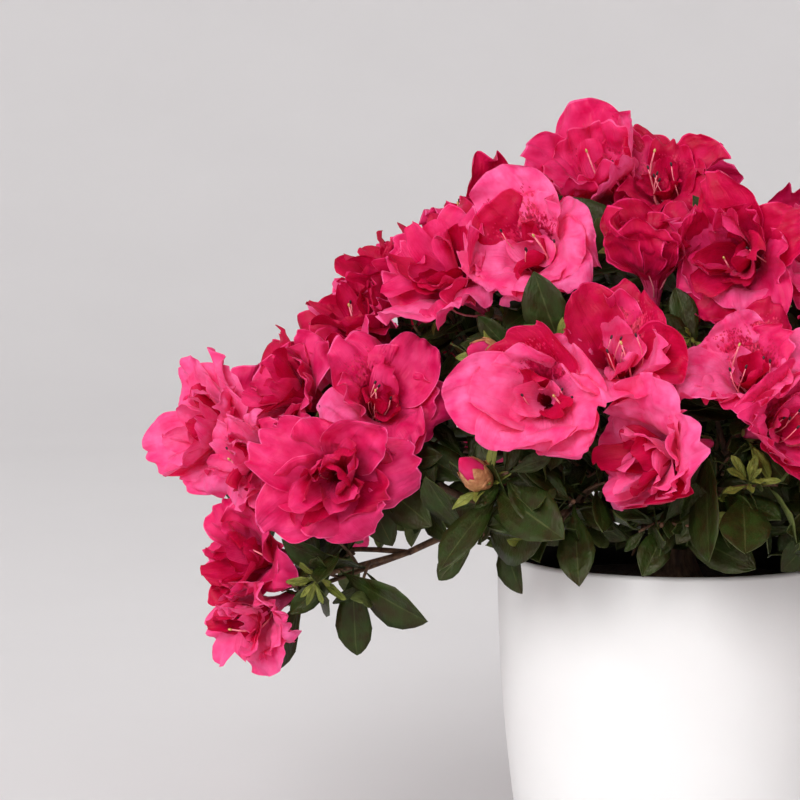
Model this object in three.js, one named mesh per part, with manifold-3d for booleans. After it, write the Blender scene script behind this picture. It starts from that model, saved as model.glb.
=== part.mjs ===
// A florist's azalea in a smooth white pot: a short trunk that forks just above the rim into arching
// boughs, which carry a low, wide crown of double blooms over whorls of small oval leaves.
// Millimetres, +Z up. The origin is the centre of the pot's flat underside, and -Y is the front.
import * as THREE from "three";
import { mergeVertices } from "three/addons/utils/BufferGeometryUtils.js";
import Module from "manifold-3d";

const wasm = await Module();
wasm.setup();

// Driving sizes. Angles are in degrees.
const CLEAR = 0.3; // between solids that touch
const POT = { height: 130, rim: 70, foot: 59, wall: 3.6, floor: 6, belly: 2.6, segments: 36 };
const SOIL = { belowRim: 15, mound: 2.5, segments: 26 };
const TRUNK = { base: 15, waist: 8.2, knuckle: 10.5, roots: 5, segments: 15 };
const FORK_HEIGHT = 10; // the trunk's fork above the pot's rim
const BOUGH = { base: 3.5, tip: 2.3, share: 0.42, bend: 34, splay: 2.6, sides: 7, steps: 5 };
const STEM = { base: 1.8, tip: 1.3, bend: 14, steps: 2 };
const TWIG = { base: 1.2, tip: 0.85, sides: 3 };
const BLOOM = { radius: 29, tube: 30, throat: 0.56, cup: 8, depth: 6, spread: 31, lobes: 5 };
const SHOOT = { number: 2, length: 44, lean: 58 };
const LEAVES = { underBloom: 3, onPlaced: 6, onShoot: 4 };
const LEAF = { length: 40, width: 0.4, thickness: 1.3, gap: 3.4 };
const BUD = { length: 24, radius: 5.5, most: 3 }; // most buds of one mass
const HEAD_DEPTH = 58; // from the blooms' level back to where a stem divides
const LOWEST = 116; // that leaves hang to, unless their mass says otherwise
const SLIVER = 0.06; // edges shorter than this are closed up
const MARGIN = 0.6; // that twigs and leaves keep from the edge of their mass's space
const SEED = 50;

// Directions are [azimuth, rise] from the trunk's fork: azimuth runs from +X towards +Y, and rise is
// above the horizon. The stem of each mass of foliage points along its axis, and reach is from the
// fork to the level of its blooms. A bloom is [azimuth, rise, reach, size] and then the azimuth and
// rise that it faces; a shoot of leaves is the same without its size. A ring is [number of blooms,
// turn of the ring, lean away from the axis]. Free shoots are those that the rule places itself.
const MASSES = [
  {
    name: "left_low_spray",
    axis: [193, -4],
    reach: 166,
    lowest: 74,
    blooms: [
      [189, -3, 171, 0.97, 222, 5],
      [191.5, -11, 175, 0.82, 228, -16],
    ],
    shoots: [[199, -5, 148, 250, -25]],
    freeShoots: 0,
  },
  {
    name: "left_spray",
    axis: [190, 14],
    reach: 168,
    lowest: 122,
    blooms: [
      [181, 12, 184, 1.16, 214, 10],
      [192, 10, 177, 0.72, 218, 0],
      [205, 10, 149, 1.14, 262, -4],
      [204, 24, 136, 0.98, 285, 28],
      [188, 20, 164, 0.98, 208, 25],
      [168, 11, 176, 1, 150, 12],
    ],
    shoots: [
      [177, 2, 168, 190, -25],
      [212, 5, 128, 240, -20],
      [162, 2, 140, 150, -10],
    ],
  },
  {
    name: "left_shoulder",
    axis: [175, 36],
    reach: 152,
    blooms: [
      [184, 33, 148, 1.05, 205, 45],
      [175, 41, 150, 1.05, 190, 55],
      [160, 32, 158, 1, 152, 35],
    ],
    shoots: [[192, 43, 128, 200, 30]],
  },
  {
    name: "upper_left_mass",
    axis: [218, 48],
    reach: 142,
    blooms: [
      [206, 45, 143, 1.15, 222, 35],
      [226, 52, 142, 1.14, 243, 26],
    ],
    shoots: [[224, 36, 124, 240, 10]],
  },
  {
    name: "crown_top",
    axis: [165, 78],
    reach: 150,
    blooms: [
      [192, 77, 142, 1.1, 232, 50],
      [246, 81, 140, 0.92, 244, 48],
      [76, 76, 130, 1, 62, 60],
      [152, 54, 152, 1, 152, 56],
    ],
    shoots: [],
  },
  {
    name: "upper_front_mass",
    axis: [268, 55],
    reach: 138,
    blooms: [
      [258, 56, 137, 0.95, 262, 68],
      [279, 52, 140, 1.08, 242, 12],
    ],
    shoots: [[244, 66, 122, 250, 30]],
  },
  {
    name: "front_middle_mass",
    axis: [247, 30],
    reach: 138,
    blooms: [
      [243, 26, 142, 1.15, 258, 12],
      [254, 35, 135, 1.05, 262, 42],
    ],
    shoots: [[238, 38, 122, 250, 10]],
  },
  {
    name: "front_bud_spray",
    axis: [230, 12],
    reach: 126,
    lowest: 125,
    mostBuds: 1,
    blooms: [],
    shoots: [
      [228, 13, 117, 238, 32],
      [244, 12, 106, 255, 28],
      [221, 3, 112, 232, -8],
    ],
  },
  {
    name: "front_low_mass",
    axis: [267, 14],
    reach: 124,
    lowest: 136,
    blooms: [[261, 19, 126, 1.08, 212, -8]],
    shoots: [
      [278, 15, 117, 270, 40],
      [262, 8, 104, 268, 20],
    ],
  },
  {
    name: "front_right_mass",
    axis: [281, 29],
    reach: 134,
    blooms: [
      [277, 33, 134, 1, 255, 35],
      [284, 23, 136, 0.95, 302, 12],
    ],
    shoots: [[268, 43, 118, 270, 20]],
  },
  {
    name: "upper_right_mass",
    axis: [318, 54],
    reach: 132,
    blooms: [
      [322, 62, 122, 1, 300, 50],
      [338, 48, 136, 1, 332, 45],
      [303, 44, 136, 1, 300, 38],
    ],
    shoots: [[290, 66, 118, 280, 45]],
  },
  { name: "right_front_spray", axis: [305, 14], reach: 142, ring: [3, 90, 30] },
  { name: "right_end_spray", axis: [341, 14], reach: 154, ring: [3, 30, 30] },
  { name: "right_shoulder", axis: [352, 41], reach: 146, ring: [3, 90, 30] },
  { name: "right_back_spray", axis: [19, 14], reach: 152, ring: [3, 90, 30] },
  { name: "upper_right_back_mass", axis: [38, 41], reach: 147, ring: [3, 20, 32] },
  { name: "back_right_spray", axis: [59, 14], reach: 150, ring: [3, 30, 30] },
  { name: "upper_back_mass", axis: [85, 44], reach: 146, ring: [3, 90, 32] },
  { name: "back_left_spray", axis: [101, 14], reach: 152, ring: [3, 90, 30] },
  { name: "upper_back_left_mass", axis: [128, 39], reach: 150, ring: [3, 20, 32] },
  { name: "left_back_spray", axis: [143, 12], reach: 163, ring: [3, 30, 30] },
];

// Each bough leaves the fork its own way and carries two or three neighbouring masses.
const BOUGHS = [
  { name: "left_bough", start: [192, 12], carries: ["left_low_spray", "left_spray"] },
  { name: "upper_left_bough", start: [197, 54], carries: ["left_shoulder", "upper_left_mass"] },
  { name: "front_left_bough", start: [236, 12], carries: ["front_bud_spray", "front_middle_mass"] },
  { name: "front_bough", start: [279, 12], carries: ["front_low_mass", "front_right_mass"] },
  {
    name: "top_bough",
    start: [285, 66],
    carries: ["crown_top", "upper_front_mass", "upper_right_mass"],
  },
  { name: "right_front_bough", start: [322, 12], carries: ["right_front_spray", "right_end_spray"] },
  { name: "right_bough", start: [5, 52], carries: ["right_shoulder", "upper_right_back_mass"] },
  { name: "right_back_bough", start: [38, 12], carries: ["right_back_spray", "back_right_spray"] },
  { name: "back_bough", start: [107, 54], carries: ["upper_back_mass", "upper_back_left_mass"] },
  { name: "back_left_bough", start: [118, 12], carries: ["back_left_spray", "left_back_spray"] },
];

const UP = new THREE.Vector3(0, 0, 1);
const FORK = new THREE.Vector3(0, 0, POT.height + FORK_HEIGHT);
const SOIL_TOP = POT.height - SOIL.belowRim;
const GOLDEN = Math.PI * (3 - Math.sqrt(5));

const COLOURS = {
  pot: { color: "#eeedeb", roughness: 0.42 },
  soil: { color: "#2a1d15", roughness: 1 },
  bark: { color: "#6b4a35", roughness: 0.9 },
  bloom: { color: "#e62b6a", roughness: 0.6 },
  leaf: { color: "#2f4a26", roughness: 0.5 },
};

const radians = THREE.MathUtils.degToRad;

// A small random generator: the same seed always gives the same draws, from 0 to 1.
function seeded(seed) {
  let state = seed | 0;
  return () => {
    state = (state + 0x6d2b79f5) | 0;
    let t = Math.imul(state ^ (state >>> 15), state | 1);
    t ^= t + Math.imul(t ^ (t >>> 7), t | 61);
    return ((t ^ (t >>> 14)) >>> 0) / 4294967296;
  };
}

// ---- Vectors ----

function along(azimuth, rise) {
  const a = radians(azimuth);
  const r = radians(rise);
  return new THREE.Vector3(Math.cos(a) * Math.cos(r), Math.sin(a) * Math.cos(r), Math.sin(r));
}

// Start, and each [direction, length] after it added on.
function offset(start, ...steps) {
  const made = start.clone();
  steps.forEach(([direction, length]) => made.addScaledVector(direction, length));
  return made;
}

// The two directions across an axis: the first level, the second as upright as it can be.
function across(axis) {
  const level = UP.clone().cross(axis).normalize();
  return [level, axis.clone().cross(level)];
}

function turned(axis, angle) {
  const [level, upright] = across(axis);
  return offset(new THREE.Vector3(), [level, Math.cos(angle)], [upright, Math.sin(angle)]);
}

function distanceToSegment(point, a, b) {
  const line = b.clone().sub(a);
  const t = THREE.MathUtils.clamp(point.clone().sub(a).dot(line) / line.lengthSq(), 0, 1);
  return { distance: point.distanceTo(offset(a, [line, t])), t };
}

// ---- Solids ----

function solid(geometry) {
  const bare = geometry.clone();
  bare.deleteAttribute("normal");
  bare.deleteAttribute("uv");
  const merged = mergeVertices(bare, 1e-4);
  return new wasm.Manifold(
    new wasm.Mesh({
      numProp: 3,
      vertProperties: merged.attributes.position.array,
      triVerts: new Uint32Array(merged.index.array),
    }),
  );
}

function geometryOf(manifold) {
  const mesh = manifold.getMesh();
  return new THREE.BufferGeometry()
    .setAttribute("position", new THREE.BufferAttribute(mesh.vertProperties.slice(), 3))
    .setIndex(new THREE.BufferAttribute(mesh.triVerts.slice(), 1))
    .toNonIndexed();
}

// Pieces joined into one body. A hollow that the joining seals is filled, and a scrap is dropped.
function fused(pieces) {
  const bodies = wasm.Manifold.union(pieces).simplify(SLIVER).decompose();
  return bodies.reduce((a, b) => (b.volume() > a.volume() ? b : a));
}

// Rings of points, each ring as long as the next, closed by a point at each end.
function ringed(first, rings, last) {
  const count = rings[0].length;
  const points = [first, ...rings.flat(), last];
  const faces = [];
  const at = (ring, i) => 1 + ring * count + (i % count);
  for (let i = 0; i < count; i++) {
    faces.push(0, at(0, i + 1), at(0, i));
    faces.push(points.length - 1, at(rings.length - 1, i), at(rings.length - 1, i + 1));
    for (let ring = 0; ring + 1 < rings.length; ring++) {
      faces.push(at(ring, i), at(ring, i + 1), at(ring + 1, i));
      faces.push(at(ring, i + 1), at(ring + 1, i + 1), at(ring + 1, i));
    }
  }
  return new THREE.BufferGeometry().setFromPoints(points).setIndex(faces);
}

// A limb that tapers evenly along a curve, from one radius to another.
function limb(curve, base, tip, sides, steps) {
  const frames = curve.computeFrenetFrames(steps, false);
  const rings = [];
  for (let step = 0; step <= steps; step++) {
    const centre = curve.getPointAt(step / steps);
    const radius = THREE.MathUtils.lerp(base, tip, step / steps);
    const ring = [];
    for (let side = 0; side < sides; side++) {
      const angle = (2 * Math.PI * side) / sides;
      const { normals, binormals } = frames;
      ring.push(
        offset(centre, [normals[step], radius * Math.cos(angle)], [binormals[step], radius * Math.sin(angle)]),
      );
    }
    rings.push(ring);
  }
  return ringed(curve.getPointAt(0), rings, curve.getPointAt(1));
}

function stemSolid({ curve }) {
  return solid(limb(curve, STEM.base, STEM.tip, TWIG.sides, STEM.steps));
}

function twigSolid({ from, to }) {
  return solid(limb(new THREE.LineCurve3(from, to), TWIG.base, TWIG.tip, TWIG.sides, 1));
}

// A leaf of eight faces: pointed at both ends, widest past its middle and slightly domed.
function leafSolid({ base, direction, face, length }) {
  const side = face.clone().cross(direction);
  const middle = offset(base, [direction, 0.55 * length], [face, 0.07 * length]);
  const half = (LEAF.width * length) / 2;
  const edge = [
    offset(base, [direction, -0.4]),
    offset(middle, [side, -half], [face, -0.05 * length]),
    offset(base, [direction, length]),
    offset(middle, [side, half], [face, -0.05 * length]),
  ];
  const top = offset(middle, [face, LEAF.thickness / 2]);
  const under = offset(middle, [face, -LEAF.thickness / 2]);
  return solid(ringed(under, [edge], top));
}

// A bloom: a narrow tube that opens into five ruffled lobes round a raised heart of small petals.
// It is pressed flat where it meets the next mass.
function bloomSolid({ centre, facing, radius, turn, lobes, ruffle, walls, inside }) {
  const pressed = (point) => drawnInto(walls, inside, point);
  const count = 2 * lobes.length;
  const ring = (reach, height) => {
    const points = [];
    for (let i = 0; i < count; i++) {
      const aside = turned(facing, turn + (2 * Math.PI * i) / count);
      points.push(pressed(offset(centre, [aside, reach(i)], [facing, height(i)])));
    }
    return points;
  };
  const lobe = (i) => lobes[Math.floor(i / 2)];
  const isNotch = (i) => i % 2 === 1;
  const even = (value) => () => value;
  const rim = ring(
    (i) => radius * (isNotch(i) ? 0.8 : lobe(i).reach),
    (i) => (isNotch(i) ? -1 : 4 + lobe(i).lift),
  );
  const heart = ring(even(0.34 * radius), (i) => (isNotch(i) ? ruffle : 9 - ruffle));
  return solid(
    ringed(
      pressed(offset(centre, [facing, -BLOOM.tube])),
      [
        ring(even(BLOOM.throat * radius), even(-BLOOM.cup)),
        rim,
        ring(even(0.58 * radius), even(1)),
        heart,
      ],
      pressed(offset(centre, [facing, 2])),
    ),
  );
}

function budSolid({ base, facing, turn }) {
  const count = 5;
  const ring = (height, radius) => {
    const points = [];
    for (let i = 0; i < count; i++) {
      const angle = turn + (2 * Math.PI * i) / count;
      points.push(offset(base, [turned(facing, angle), radius], [facing, height]));
    }
    return points;
  };
  return solid(
    ringed(
      offset(base, [facing, -2]),
      [ring(0, 0.3 * BUD.radius), ring(0.4 * BUD.length, BUD.radius)],
      offset(base, [facing, BUD.length]),
    ),
  );
}

// ---- The rule by which the plant grows ----

const massByName = Object.fromEntries(MASSES.map((mass) => [mass.name, mass]));

function placedAt([azimuth, rise, reach]) {
  return offset(FORK, [along(azimuth, rise), reach]);
}

function bloom(draw, centre, facing, size) {
  const radius = BLOOM.radius * size;
  const turn = 2 * Math.PI * draw();
  const ruffle = 3 * draw();
  const lobes = [];
  for (let lobe = 0; lobe < BLOOM.lobes; lobe++) {
    lobes.push({ reach: 0.96 + 0.16 * draw(), lift: 7 * (draw() - 0.5) });
  }
  return { centre, facing, radius, turn, ruffle, lobes };
}

function placedBloom({ draw }, [azimuth, rise, reach, size, ...facing]) {
  return bloom(draw, placedAt([azimuth, rise, reach]), along(...facing), size);
}

// Blooms in a ring round the mass's axis, each leaning away from it.
function ringOfBlooms({ draw, outward, head, ring: [count, turn, lean] }) {
  const made = [];
  for (let i = 0; i < count; i++) {
    const angle = radians(turn) + (2 * Math.PI * i) / count + 0.2 * (draw() - 0.5);
    const aside = turned(outward, angle);
    const tilt = radians(lean) * (0.85 + 0.3 * draw());
    const facing = offset(new THREE.Vector3(), [outward, Math.cos(tilt)], [aside, Math.sin(tilt)]);
    const centre = offset(head, [aside, BLOOM.spread], [outward, 8 * (draw() - 0.5)]);
    made.push(bloom(draw, centre, facing, 0.93 + 0.16 * draw()));
  }
  return made;
}

MASSES.forEach((mass, index) => {
  mass.outward = along(...mass.axis);
  mass.head = offset(FORK, [mass.outward, mass.reach]);
  mass.draw = seeded(SEED + 97 * index);
  mass.flowers = mass.ring ? ringOfBlooms(mass) : mass.blooms.map((row) => placedBloom(mass, row));
  const ends = [...mass.flowers.map(({ centre }) => centre), ...(mass.shoots ?? []).map(placedAt)];
  mass.seeds = ends.map((end) => end.clone().sub(FORK).normalize());
  mass.twigs = [];
  mass.leaves = [];
  mass.buds = [];
});

// The space of a mass is where one of its own blooms or shoots is nearer in direction than any
// bloom or shoot of another mass. Round each of them that gives a cone with flat walls.
MASSES.forEach((mass) => {
  const others = MASSES.filter((other) => other !== mass).flatMap(({ seeds }) => seeds);
  mass.cones = mass.seeds.map((own) => others.map((other) => own.clone().sub(other).normalize()));
});

MASSES.forEach(({ flowers, seeds, cones }) => {
  flowers.forEach((flower, i) => {
    flower.inside = offset(flower.centre, [flower.facing, -BLOOM.depth]);
    const siblings = seeds.filter((seed) => seed !== seeds[i]);
    const between = siblings.map((seed) => seeds[i].clone().sub(seed).normalize());
    flower.walls = [...cones[i], ...between];
    flower.root = drawnInto(
      flower.walls,
      flower.inside,
      offset(flower.centre, [flower.facing, -BLOOM.tube + 3]),
    );
  });
});

function inSpace({ cones }, point) {
  const from = point.clone().sub(FORK);
  return cones.some((walls) => walls.every((wall) => from.dot(wall) > MARGIN));
}

// A point drawn back towards a point inside a cone until it lies inside as well.
function drawnInto(walls, inside, point) {
  const line = point.clone().sub(inside);
  const from = inside.clone().sub(FORK);
  const shares = walls.map((wall) => {
    const step = line.dot(wall);
    return step < 0 ? Math.max(0, (from.dot(wall) - CLEAR / 2) / -step) : 1;
  });
  return offset(inside, [line, Math.min(1, ...shares)]);
}

// The pot with what is in it, and a little air round its lip.
function inPot(point) {
  return point.z < POT.height + 2 && Math.hypot(point.x, point.y) < POT.rim + 2.5;
}

// Each bough arches from the knuckle at the fork to where the stems of its masses begin, side by
// side round its tip.
function growBough(bough) {
  const masses = bough.carries.map((name) => massByName[name]);
  const middle = new THREE.Vector3();
  masses.forEach(({ head }) => middle.addScaledVector(head.clone().sub(FORK), 1 / masses.length));
  const start = along(...bough.start);
  const to = offset(FORK, [middle, BOUGH.share]);
  const from = offset(FORK, [start, TRUNK.knuckle + CLEAR]);
  bough.curve = new THREE.QuadraticBezierCurve3(from, offset(FORK, [start, BOUGH.bend]), to);
  const end = bough.curve.getTangentAt(1);
  masses.forEach((mass) => {
    const aside = mass.head.clone().sub(FORK).sub(middle);
    aside.addScaledVector(end, -aside.dot(end)).normalize();
    const from = offset(to, [end, CLEAR], [aside, BOUGH.splay]);
    const stemFork = offset(mass.head, [mass.outward, -HEAD_DEPTH]);
    const bend = offset(from, [end, STEM.bend]);
    mass.stem = { from, to: stemFork, curve: new THREE.QuadraticBezierCurve3(from, bend, stemFork) };
  });
}
BOUGHS.forEach(growBough);

const limbs = [
  ...BOUGHS.flatMap(({ curve }) => {
    const points = curve.getPoints(BOUGH.steps);
    return points.slice(1).map((to, i) => ({ from: points[i], to, radius: BOUGH.base }));
  }),
  ...MASSES.map(({ stem }) => ({ ...stem, radius: STEM.base, stem })),
  {
    from: new THREE.Vector3(0, 0, SOIL_TOP),
    to: FORK,
    radius: TRUNK.knuckle,
  },
];

function touchesLimb(point, ownStem) {
  return limbs.some((other) => {
    if (other.stem === ownStem) return false;
    return distanceToSegment(point, other.from, other.to).distance < other.radius + 1.5;
  });
}

// How far behind its centre a bloom's back lies, at a distance from its axis.
function bloomBack(distance, radius) {
  const throat = BLOOM.throat * radius;
  if (distance < throat) return THREE.MathUtils.mapLinear(distance, 0, throat, BLOOM.tube, BLOOM.cup);
  return THREE.MathUtils.mapLinear(distance, throat, radius, BLOOM.cup, -2);
}

function inBloom(point, flowers) {
  return flowers.some(({ centre, facing, radius }) => {
    const from = point.clone().sub(centre);
    const height = from.dot(facing);
    const distance = Math.sqrt(Math.max(0, from.lengthSq() - height * height));
    const behind = bloomBack(distance, radius) + 1.5;
    return distance < radius + 2 && height > -behind && height < 0.5 * radius;
  });
}

// Whether twigs and leaves may come here.
function isFree(mass, point) {
  const { stem, flowers, lowest = LOWEST } = mass;
  if (inPot(point) || point.z < lowest || touchesLimb(point, stem)) return false;
  return inSpace(mass, point) && !inBloom(point, flowers);
}

function leafFits(mass, { base, direction, face, length }) {
  const side = face.clone().cross(direction);
  const half = (LEAF.width * length) / 2;
  const middle = offset(base, [direction, 0.55 * length]);
  const points = [
    ...[0.3, 0.55, 0.8, 1].map((share) => offset(base, [direction, share * length])),
    offset(middle, [side, half]),
    offset(middle, [side, -half]),
  ];
  return points.every((point) => isFree(mass, point));
}

// A whorl of leaves round the end of a twig, each facing the way that the twig's tip looks. A leaf
// with too little room stays smaller, or is left out.
function whorl(mass, twig, facing, count) {
  const { draw } = mass;
  const start = 2 * Math.PI * draw();
  const back = twig.from.clone().sub(twig.to).normalize();
  for (let i = 0; i < count; i++) {
    const aside = turned(facing, start + i * GOLDEN);
    const opening = 0.35 + 0.3 * draw();
    const length = LEAF.length * (0.82 + 0.34 * draw());
    const direction = offset(aside, [facing, opening], [UP, -0.18]).normalize();
    const base = offset(twig.to, [back, (i + 0.5 + 0.4 * draw()) * LEAF.gap]);
    const droop = ((mass.lowest ?? LOWEST) + 1 - base.z) / (0.9 * length);
    if (direction.z < droop) direction.setZ(Math.min(droop, 0.5)).normalize();
    const face = offset(facing, [direction, -facing.dot(direction)]).normalize();
    const sizes = [1, 0.8, 0.6].map((share) => ({ base, direction, face, length: share * length }));
    const leaf = sizes.find((size) => leafFits(mass, size));
    if (leaf) mass.leaves.push(leaf);
  }
}

// A leafy shoot, which may end in a flower bud.
function growShoot(mass, from, to, facing, leaves) {
  const { draw } = mass;
  const twig = { from, to };
  const budding = draw() < (mass.flowers.length ? 0.2 : 0.6);
  const bud = { base: to, facing, turn: 2 * Math.PI * draw() };
  const points = [0.5, 0.75, 1].map((t) => from.clone().lerp(to, t));
  if (!points.every((point) => isFree(mass, point))) return;
  mass.twigs.push(twig);
  whorl(mass, twig, facing, leaves);
  const tip = offset(to, [facing, BUD.length + 3]);
  const most = mass.mostBuds ?? BUD.most;
  if (budding && mass.buds.length < most && isFree(mass, tip)) mass.buds.push(bud);
}

function growMass(mass) {
  const { draw, outward, stem } = mass;
  mass.flowers.forEach(({ centre, facing, root }) => {
    const twig = { from: stem.to, to: root };
    mass.twigs.push(twig);
    whorl(mass, twig, facing, LEAVES.underBloom);
  });
  for (const [azimuth, rise, reach, ...facing] of mass.shoots ?? []) {
    const to = placedAt([azimuth, rise, reach]);
    growShoot(mass, stem.to, to, along(...facing), LEAVES.onPlaced);
  }
  const first = 2 * Math.PI * draw();
  const number = mass.freeShoots ?? SHOOT.number;
  for (let i = 0; i < number; i++) {
    const aside = turned(outward, first + (2 * Math.PI * i) / number + 0.5 * (draw() - 0.5));
    const lean = radians(SHOOT.lean * (0.8 + 0.3 * draw()));
    const facing = offset(new THREE.Vector3(), [outward, Math.cos(lean)], [aside, Math.sin(lean)]);
    const from = stem.curve.getPointAt(0.55 + 0.45 * draw());
    const to = offset(from, [facing, SHOOT.length * (0.7 + 0.4 * draw())]);
    growShoot(mass, from, to, facing, LEAVES.onShoot);
  }
}
MASSES.forEach(growMass);

// ---- The solids of each sub-part ----

function massGeometry(mass) {
  return geometryOf(
    fused([
      stemSolid(mass.stem),
      ...mass.twigs.map(twigSolid),
      ...mass.leaves.map(leafSolid),
      ...mass.buds.map(budSolid),
      ...mass.flowers.map(bloomSolid),
    ]),
  );
}

function boughGeometry({ curve }) {
  return limb(curve, BOUGH.base, BOUGH.tip, BOUGH.sides, BOUGH.steps).toNonIndexed();
}

// The outside of the pot at a height: nearly upright under the rim, and drawn in towards the foot.
function potRadius(z) {
  const down = 1 - z / POT.height;
  return POT.rim - (POT.rim - POT.foot) * down + POT.belly * Math.sin(Math.PI * down);
}

function potGeometry() {
  const inner = (z) => potRadius(z) - POT.wall;
  const lip = 0.4 * POT.wall;
  const foot = 2.5;
  const profile = [
    [0, 0],
    [potRadius(0) - foot, 0],
    [potRadius(foot), foot],
    ...[0.33, 0.67].map((share) => [potRadius(share * POT.height), share * POT.height]),
    [potRadius(POT.height), POT.height - lip],
    [POT.rim - 0.4 * lip, POT.height - 0.2 * lip],
    [inner(POT.height) + 0.4 * lip, POT.height],
    [inner(POT.height), POT.height - lip],
    [inner(0.5 * POT.height), 0.5 * POT.height],
    [inner(POT.floor), POT.floor],
    [0, POT.floor],
  ].map(([r, z]) => new THREE.Vector2(r, z));
  return new THREE.LatheGeometry(profile, POT.segments).rotateX(Math.PI / 2);
}

function soilGeometry() {
  // The soil's corners lie on the same radius as the pot's faces, so its edge stays inside them.
  const facet = Math.cos(Math.PI / POT.segments);
  const edge = (z) => (potRadius(z) - POT.wall) * facet - CLEAR;
  const profile = [
    [0, POT.floor + CLEAR],
    [edge(POT.floor) - 0.3, POT.floor + CLEAR],
    [edge(0.5 * POT.height) - 0.3, 0.5 * POT.height],
    [edge(SOIL_TOP) - 0.3, SOIL_TOP - SOIL.mound],
    [0.55 * POT.rim, SOIL_TOP - 0.4 * SOIL.mound],
    [TRUNK.base + 5, SOIL_TOP],
    [0, SOIL_TOP],
  ].map(([r, z]) => new THREE.Vector2(r, z));
  return new THREE.LatheGeometry(profile, SOIL.segments).rotateX(Math.PI / 2);
}

// A short trunk from its flared roots to the knuckle that the boughs spring from.
function trunkGeometry() {
  const foot = SOIL_TOP + CLEAR;
  const height = FORK.z - foot;
  const rows = [
    { z: foot, radius: TRUNK.base, flare: 0.2 },
    { z: foot + 0.16 * height, radius: 0.5 * (TRUNK.base + TRUNK.waist), flare: 0.14 },
    { z: foot + 0.42 * height, radius: TRUNK.waist, flare: 0.05 },
    { z: FORK.z - 0.62 * TRUNK.knuckle, radius: 0.78 * TRUNK.knuckle, flare: 0.02 },
    { z: FORK.z, radius: TRUNK.knuckle, flare: 0 },
    { z: FORK.z + 0.68 * TRUNK.knuckle, radius: 0.73 * TRUNK.knuckle, flare: 0 },
  ];
  const rings = rows.map(({ z, radius, flare }) => {
    const ring = [];
    for (let i = 0; i < TRUNK.segments; i++) {
      const angle = (2 * Math.PI * i) / TRUNK.segments;
      const r = radius * (1 + flare * Math.cos(TRUNK.roots * angle));
      ring.push(new THREE.Vector3(r * Math.cos(angle), r * Math.sin(angle), z));
    }
    return ring;
  });
  const bottom = new THREE.Vector3(0, 0, foot);
  return ringed(bottom, rings, offset(FORK, [UP, TRUNK.knuckle])).toNonIndexed();
}

// ---- The assembly ----

function part(name, geometry, { color, roughness }) {
  const material = new THREE.MeshStandardMaterial({ color, roughness, metalness: 0 });
  const mesh = new THREE.Mesh(geometry, material);
  mesh.name = name;
  return mesh;
}

const azalea = new THREE.Group();
azalea.name = "azalea_in_pot";
azalea.add(part("pot", potGeometry(), COLOURS.pot));
azalea.add(part("soil", soilGeometry(), COLOURS.soil));
azalea.add(part("trunk", trunkGeometry(), COLOURS.bark));
BOUGHS.forEach((bough) => azalea.add(part(bough.name, boughGeometry(bough), COLOURS.bark)));
MASSES.forEach((mass) => {
  const colour = mass.flowers.length ? COLOURS.bloom : COLOURS.leaf;
  azalea.add(part(mass.name, massGeometry(mass), colour));
});

export default azalea;
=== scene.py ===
"""The looks of a florist's azalea in a white pot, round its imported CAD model.

The plant grows here by the same seeded rule as its solids do, and is then carried further: ruffled
petals, stamens, finer twigs and many more leaves. Lengths are in millimetres until a mesh is made.
"""

from math import cos, hypot, pi, radians, sin, sqrt, tau
from types import SimpleNamespace as Part

import bpy
import numpy as np
from numpy.linalg import norm
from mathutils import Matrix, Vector


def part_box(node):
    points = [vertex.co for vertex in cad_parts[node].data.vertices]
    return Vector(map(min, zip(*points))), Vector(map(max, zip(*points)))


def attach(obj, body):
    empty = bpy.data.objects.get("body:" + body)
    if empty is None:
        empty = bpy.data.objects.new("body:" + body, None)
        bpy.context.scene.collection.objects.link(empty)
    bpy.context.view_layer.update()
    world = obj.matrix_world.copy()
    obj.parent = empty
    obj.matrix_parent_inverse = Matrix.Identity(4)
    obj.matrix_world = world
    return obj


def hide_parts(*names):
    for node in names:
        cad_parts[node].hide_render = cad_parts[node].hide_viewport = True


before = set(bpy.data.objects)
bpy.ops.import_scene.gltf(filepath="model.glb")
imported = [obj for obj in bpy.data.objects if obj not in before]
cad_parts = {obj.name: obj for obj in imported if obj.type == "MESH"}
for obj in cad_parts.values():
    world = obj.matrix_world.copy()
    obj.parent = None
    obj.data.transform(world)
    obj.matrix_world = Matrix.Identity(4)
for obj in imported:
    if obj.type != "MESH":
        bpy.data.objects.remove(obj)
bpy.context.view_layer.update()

MM = 0.001
UP = np.array([0.0, 0.0, 1.0])
GOLDEN = pi * (3 - sqrt(5))

# ---- Driving sizes of the rule, as in the solids ----

CLEAR = 0.3
RIM, _, POT_HEIGHT = np.array(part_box("pot")[1]) / MM
SOIL_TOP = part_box("soil")[1].z / MM
FOOT, WALL, BELLY = 59, 3.6, 2.6
KNUCKLE = 10.5
FORK = UP * (POT_HEIGHT + 10)
BOUGH_BASE, BOUGH_TIP, BOUGH_SHARE, BOUGH_BEND, BOUGH_SPLAY = 3.5, 2.3, 0.42, 34, 2.6
STEM_BASE, STEM_TIP, STEM_BEND = 1.8, 1.3, 14
TWIG_BASE, TWIG_TIP = 1.2, 0.85
BLOOM_RADIUS, BLOOM_TUBE, BLOOM_THROAT, BLOOM_CUP = 29, 30, 0.56, 8
BLOOM_DEPTH, BLOOM_SPREAD = 6, 31
SHOOT_LENGTH, SHOOT_LEAN = 44, 58
UNDER_BLOOM, ON_PLACED, ON_SHOOT = 3, 6, 4  # leaves of a whorl
LEAF_LENGTH, LEAF_WIDTH, LEAF_GAP = 40, 0.4, 3.4
BUD_LENGTH, BUD_RADIUS = 24, 5.5
BUDDING, BARE_BUDDING = 0.2, 0.6  # the share of shoots that bud, in masses with and without blooms
HEAD_DEPTH = 58
MARGIN = 0.6
BESIDE = 1.5  # the room kept beside limbs and behind blooms
SEED = 50
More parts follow.
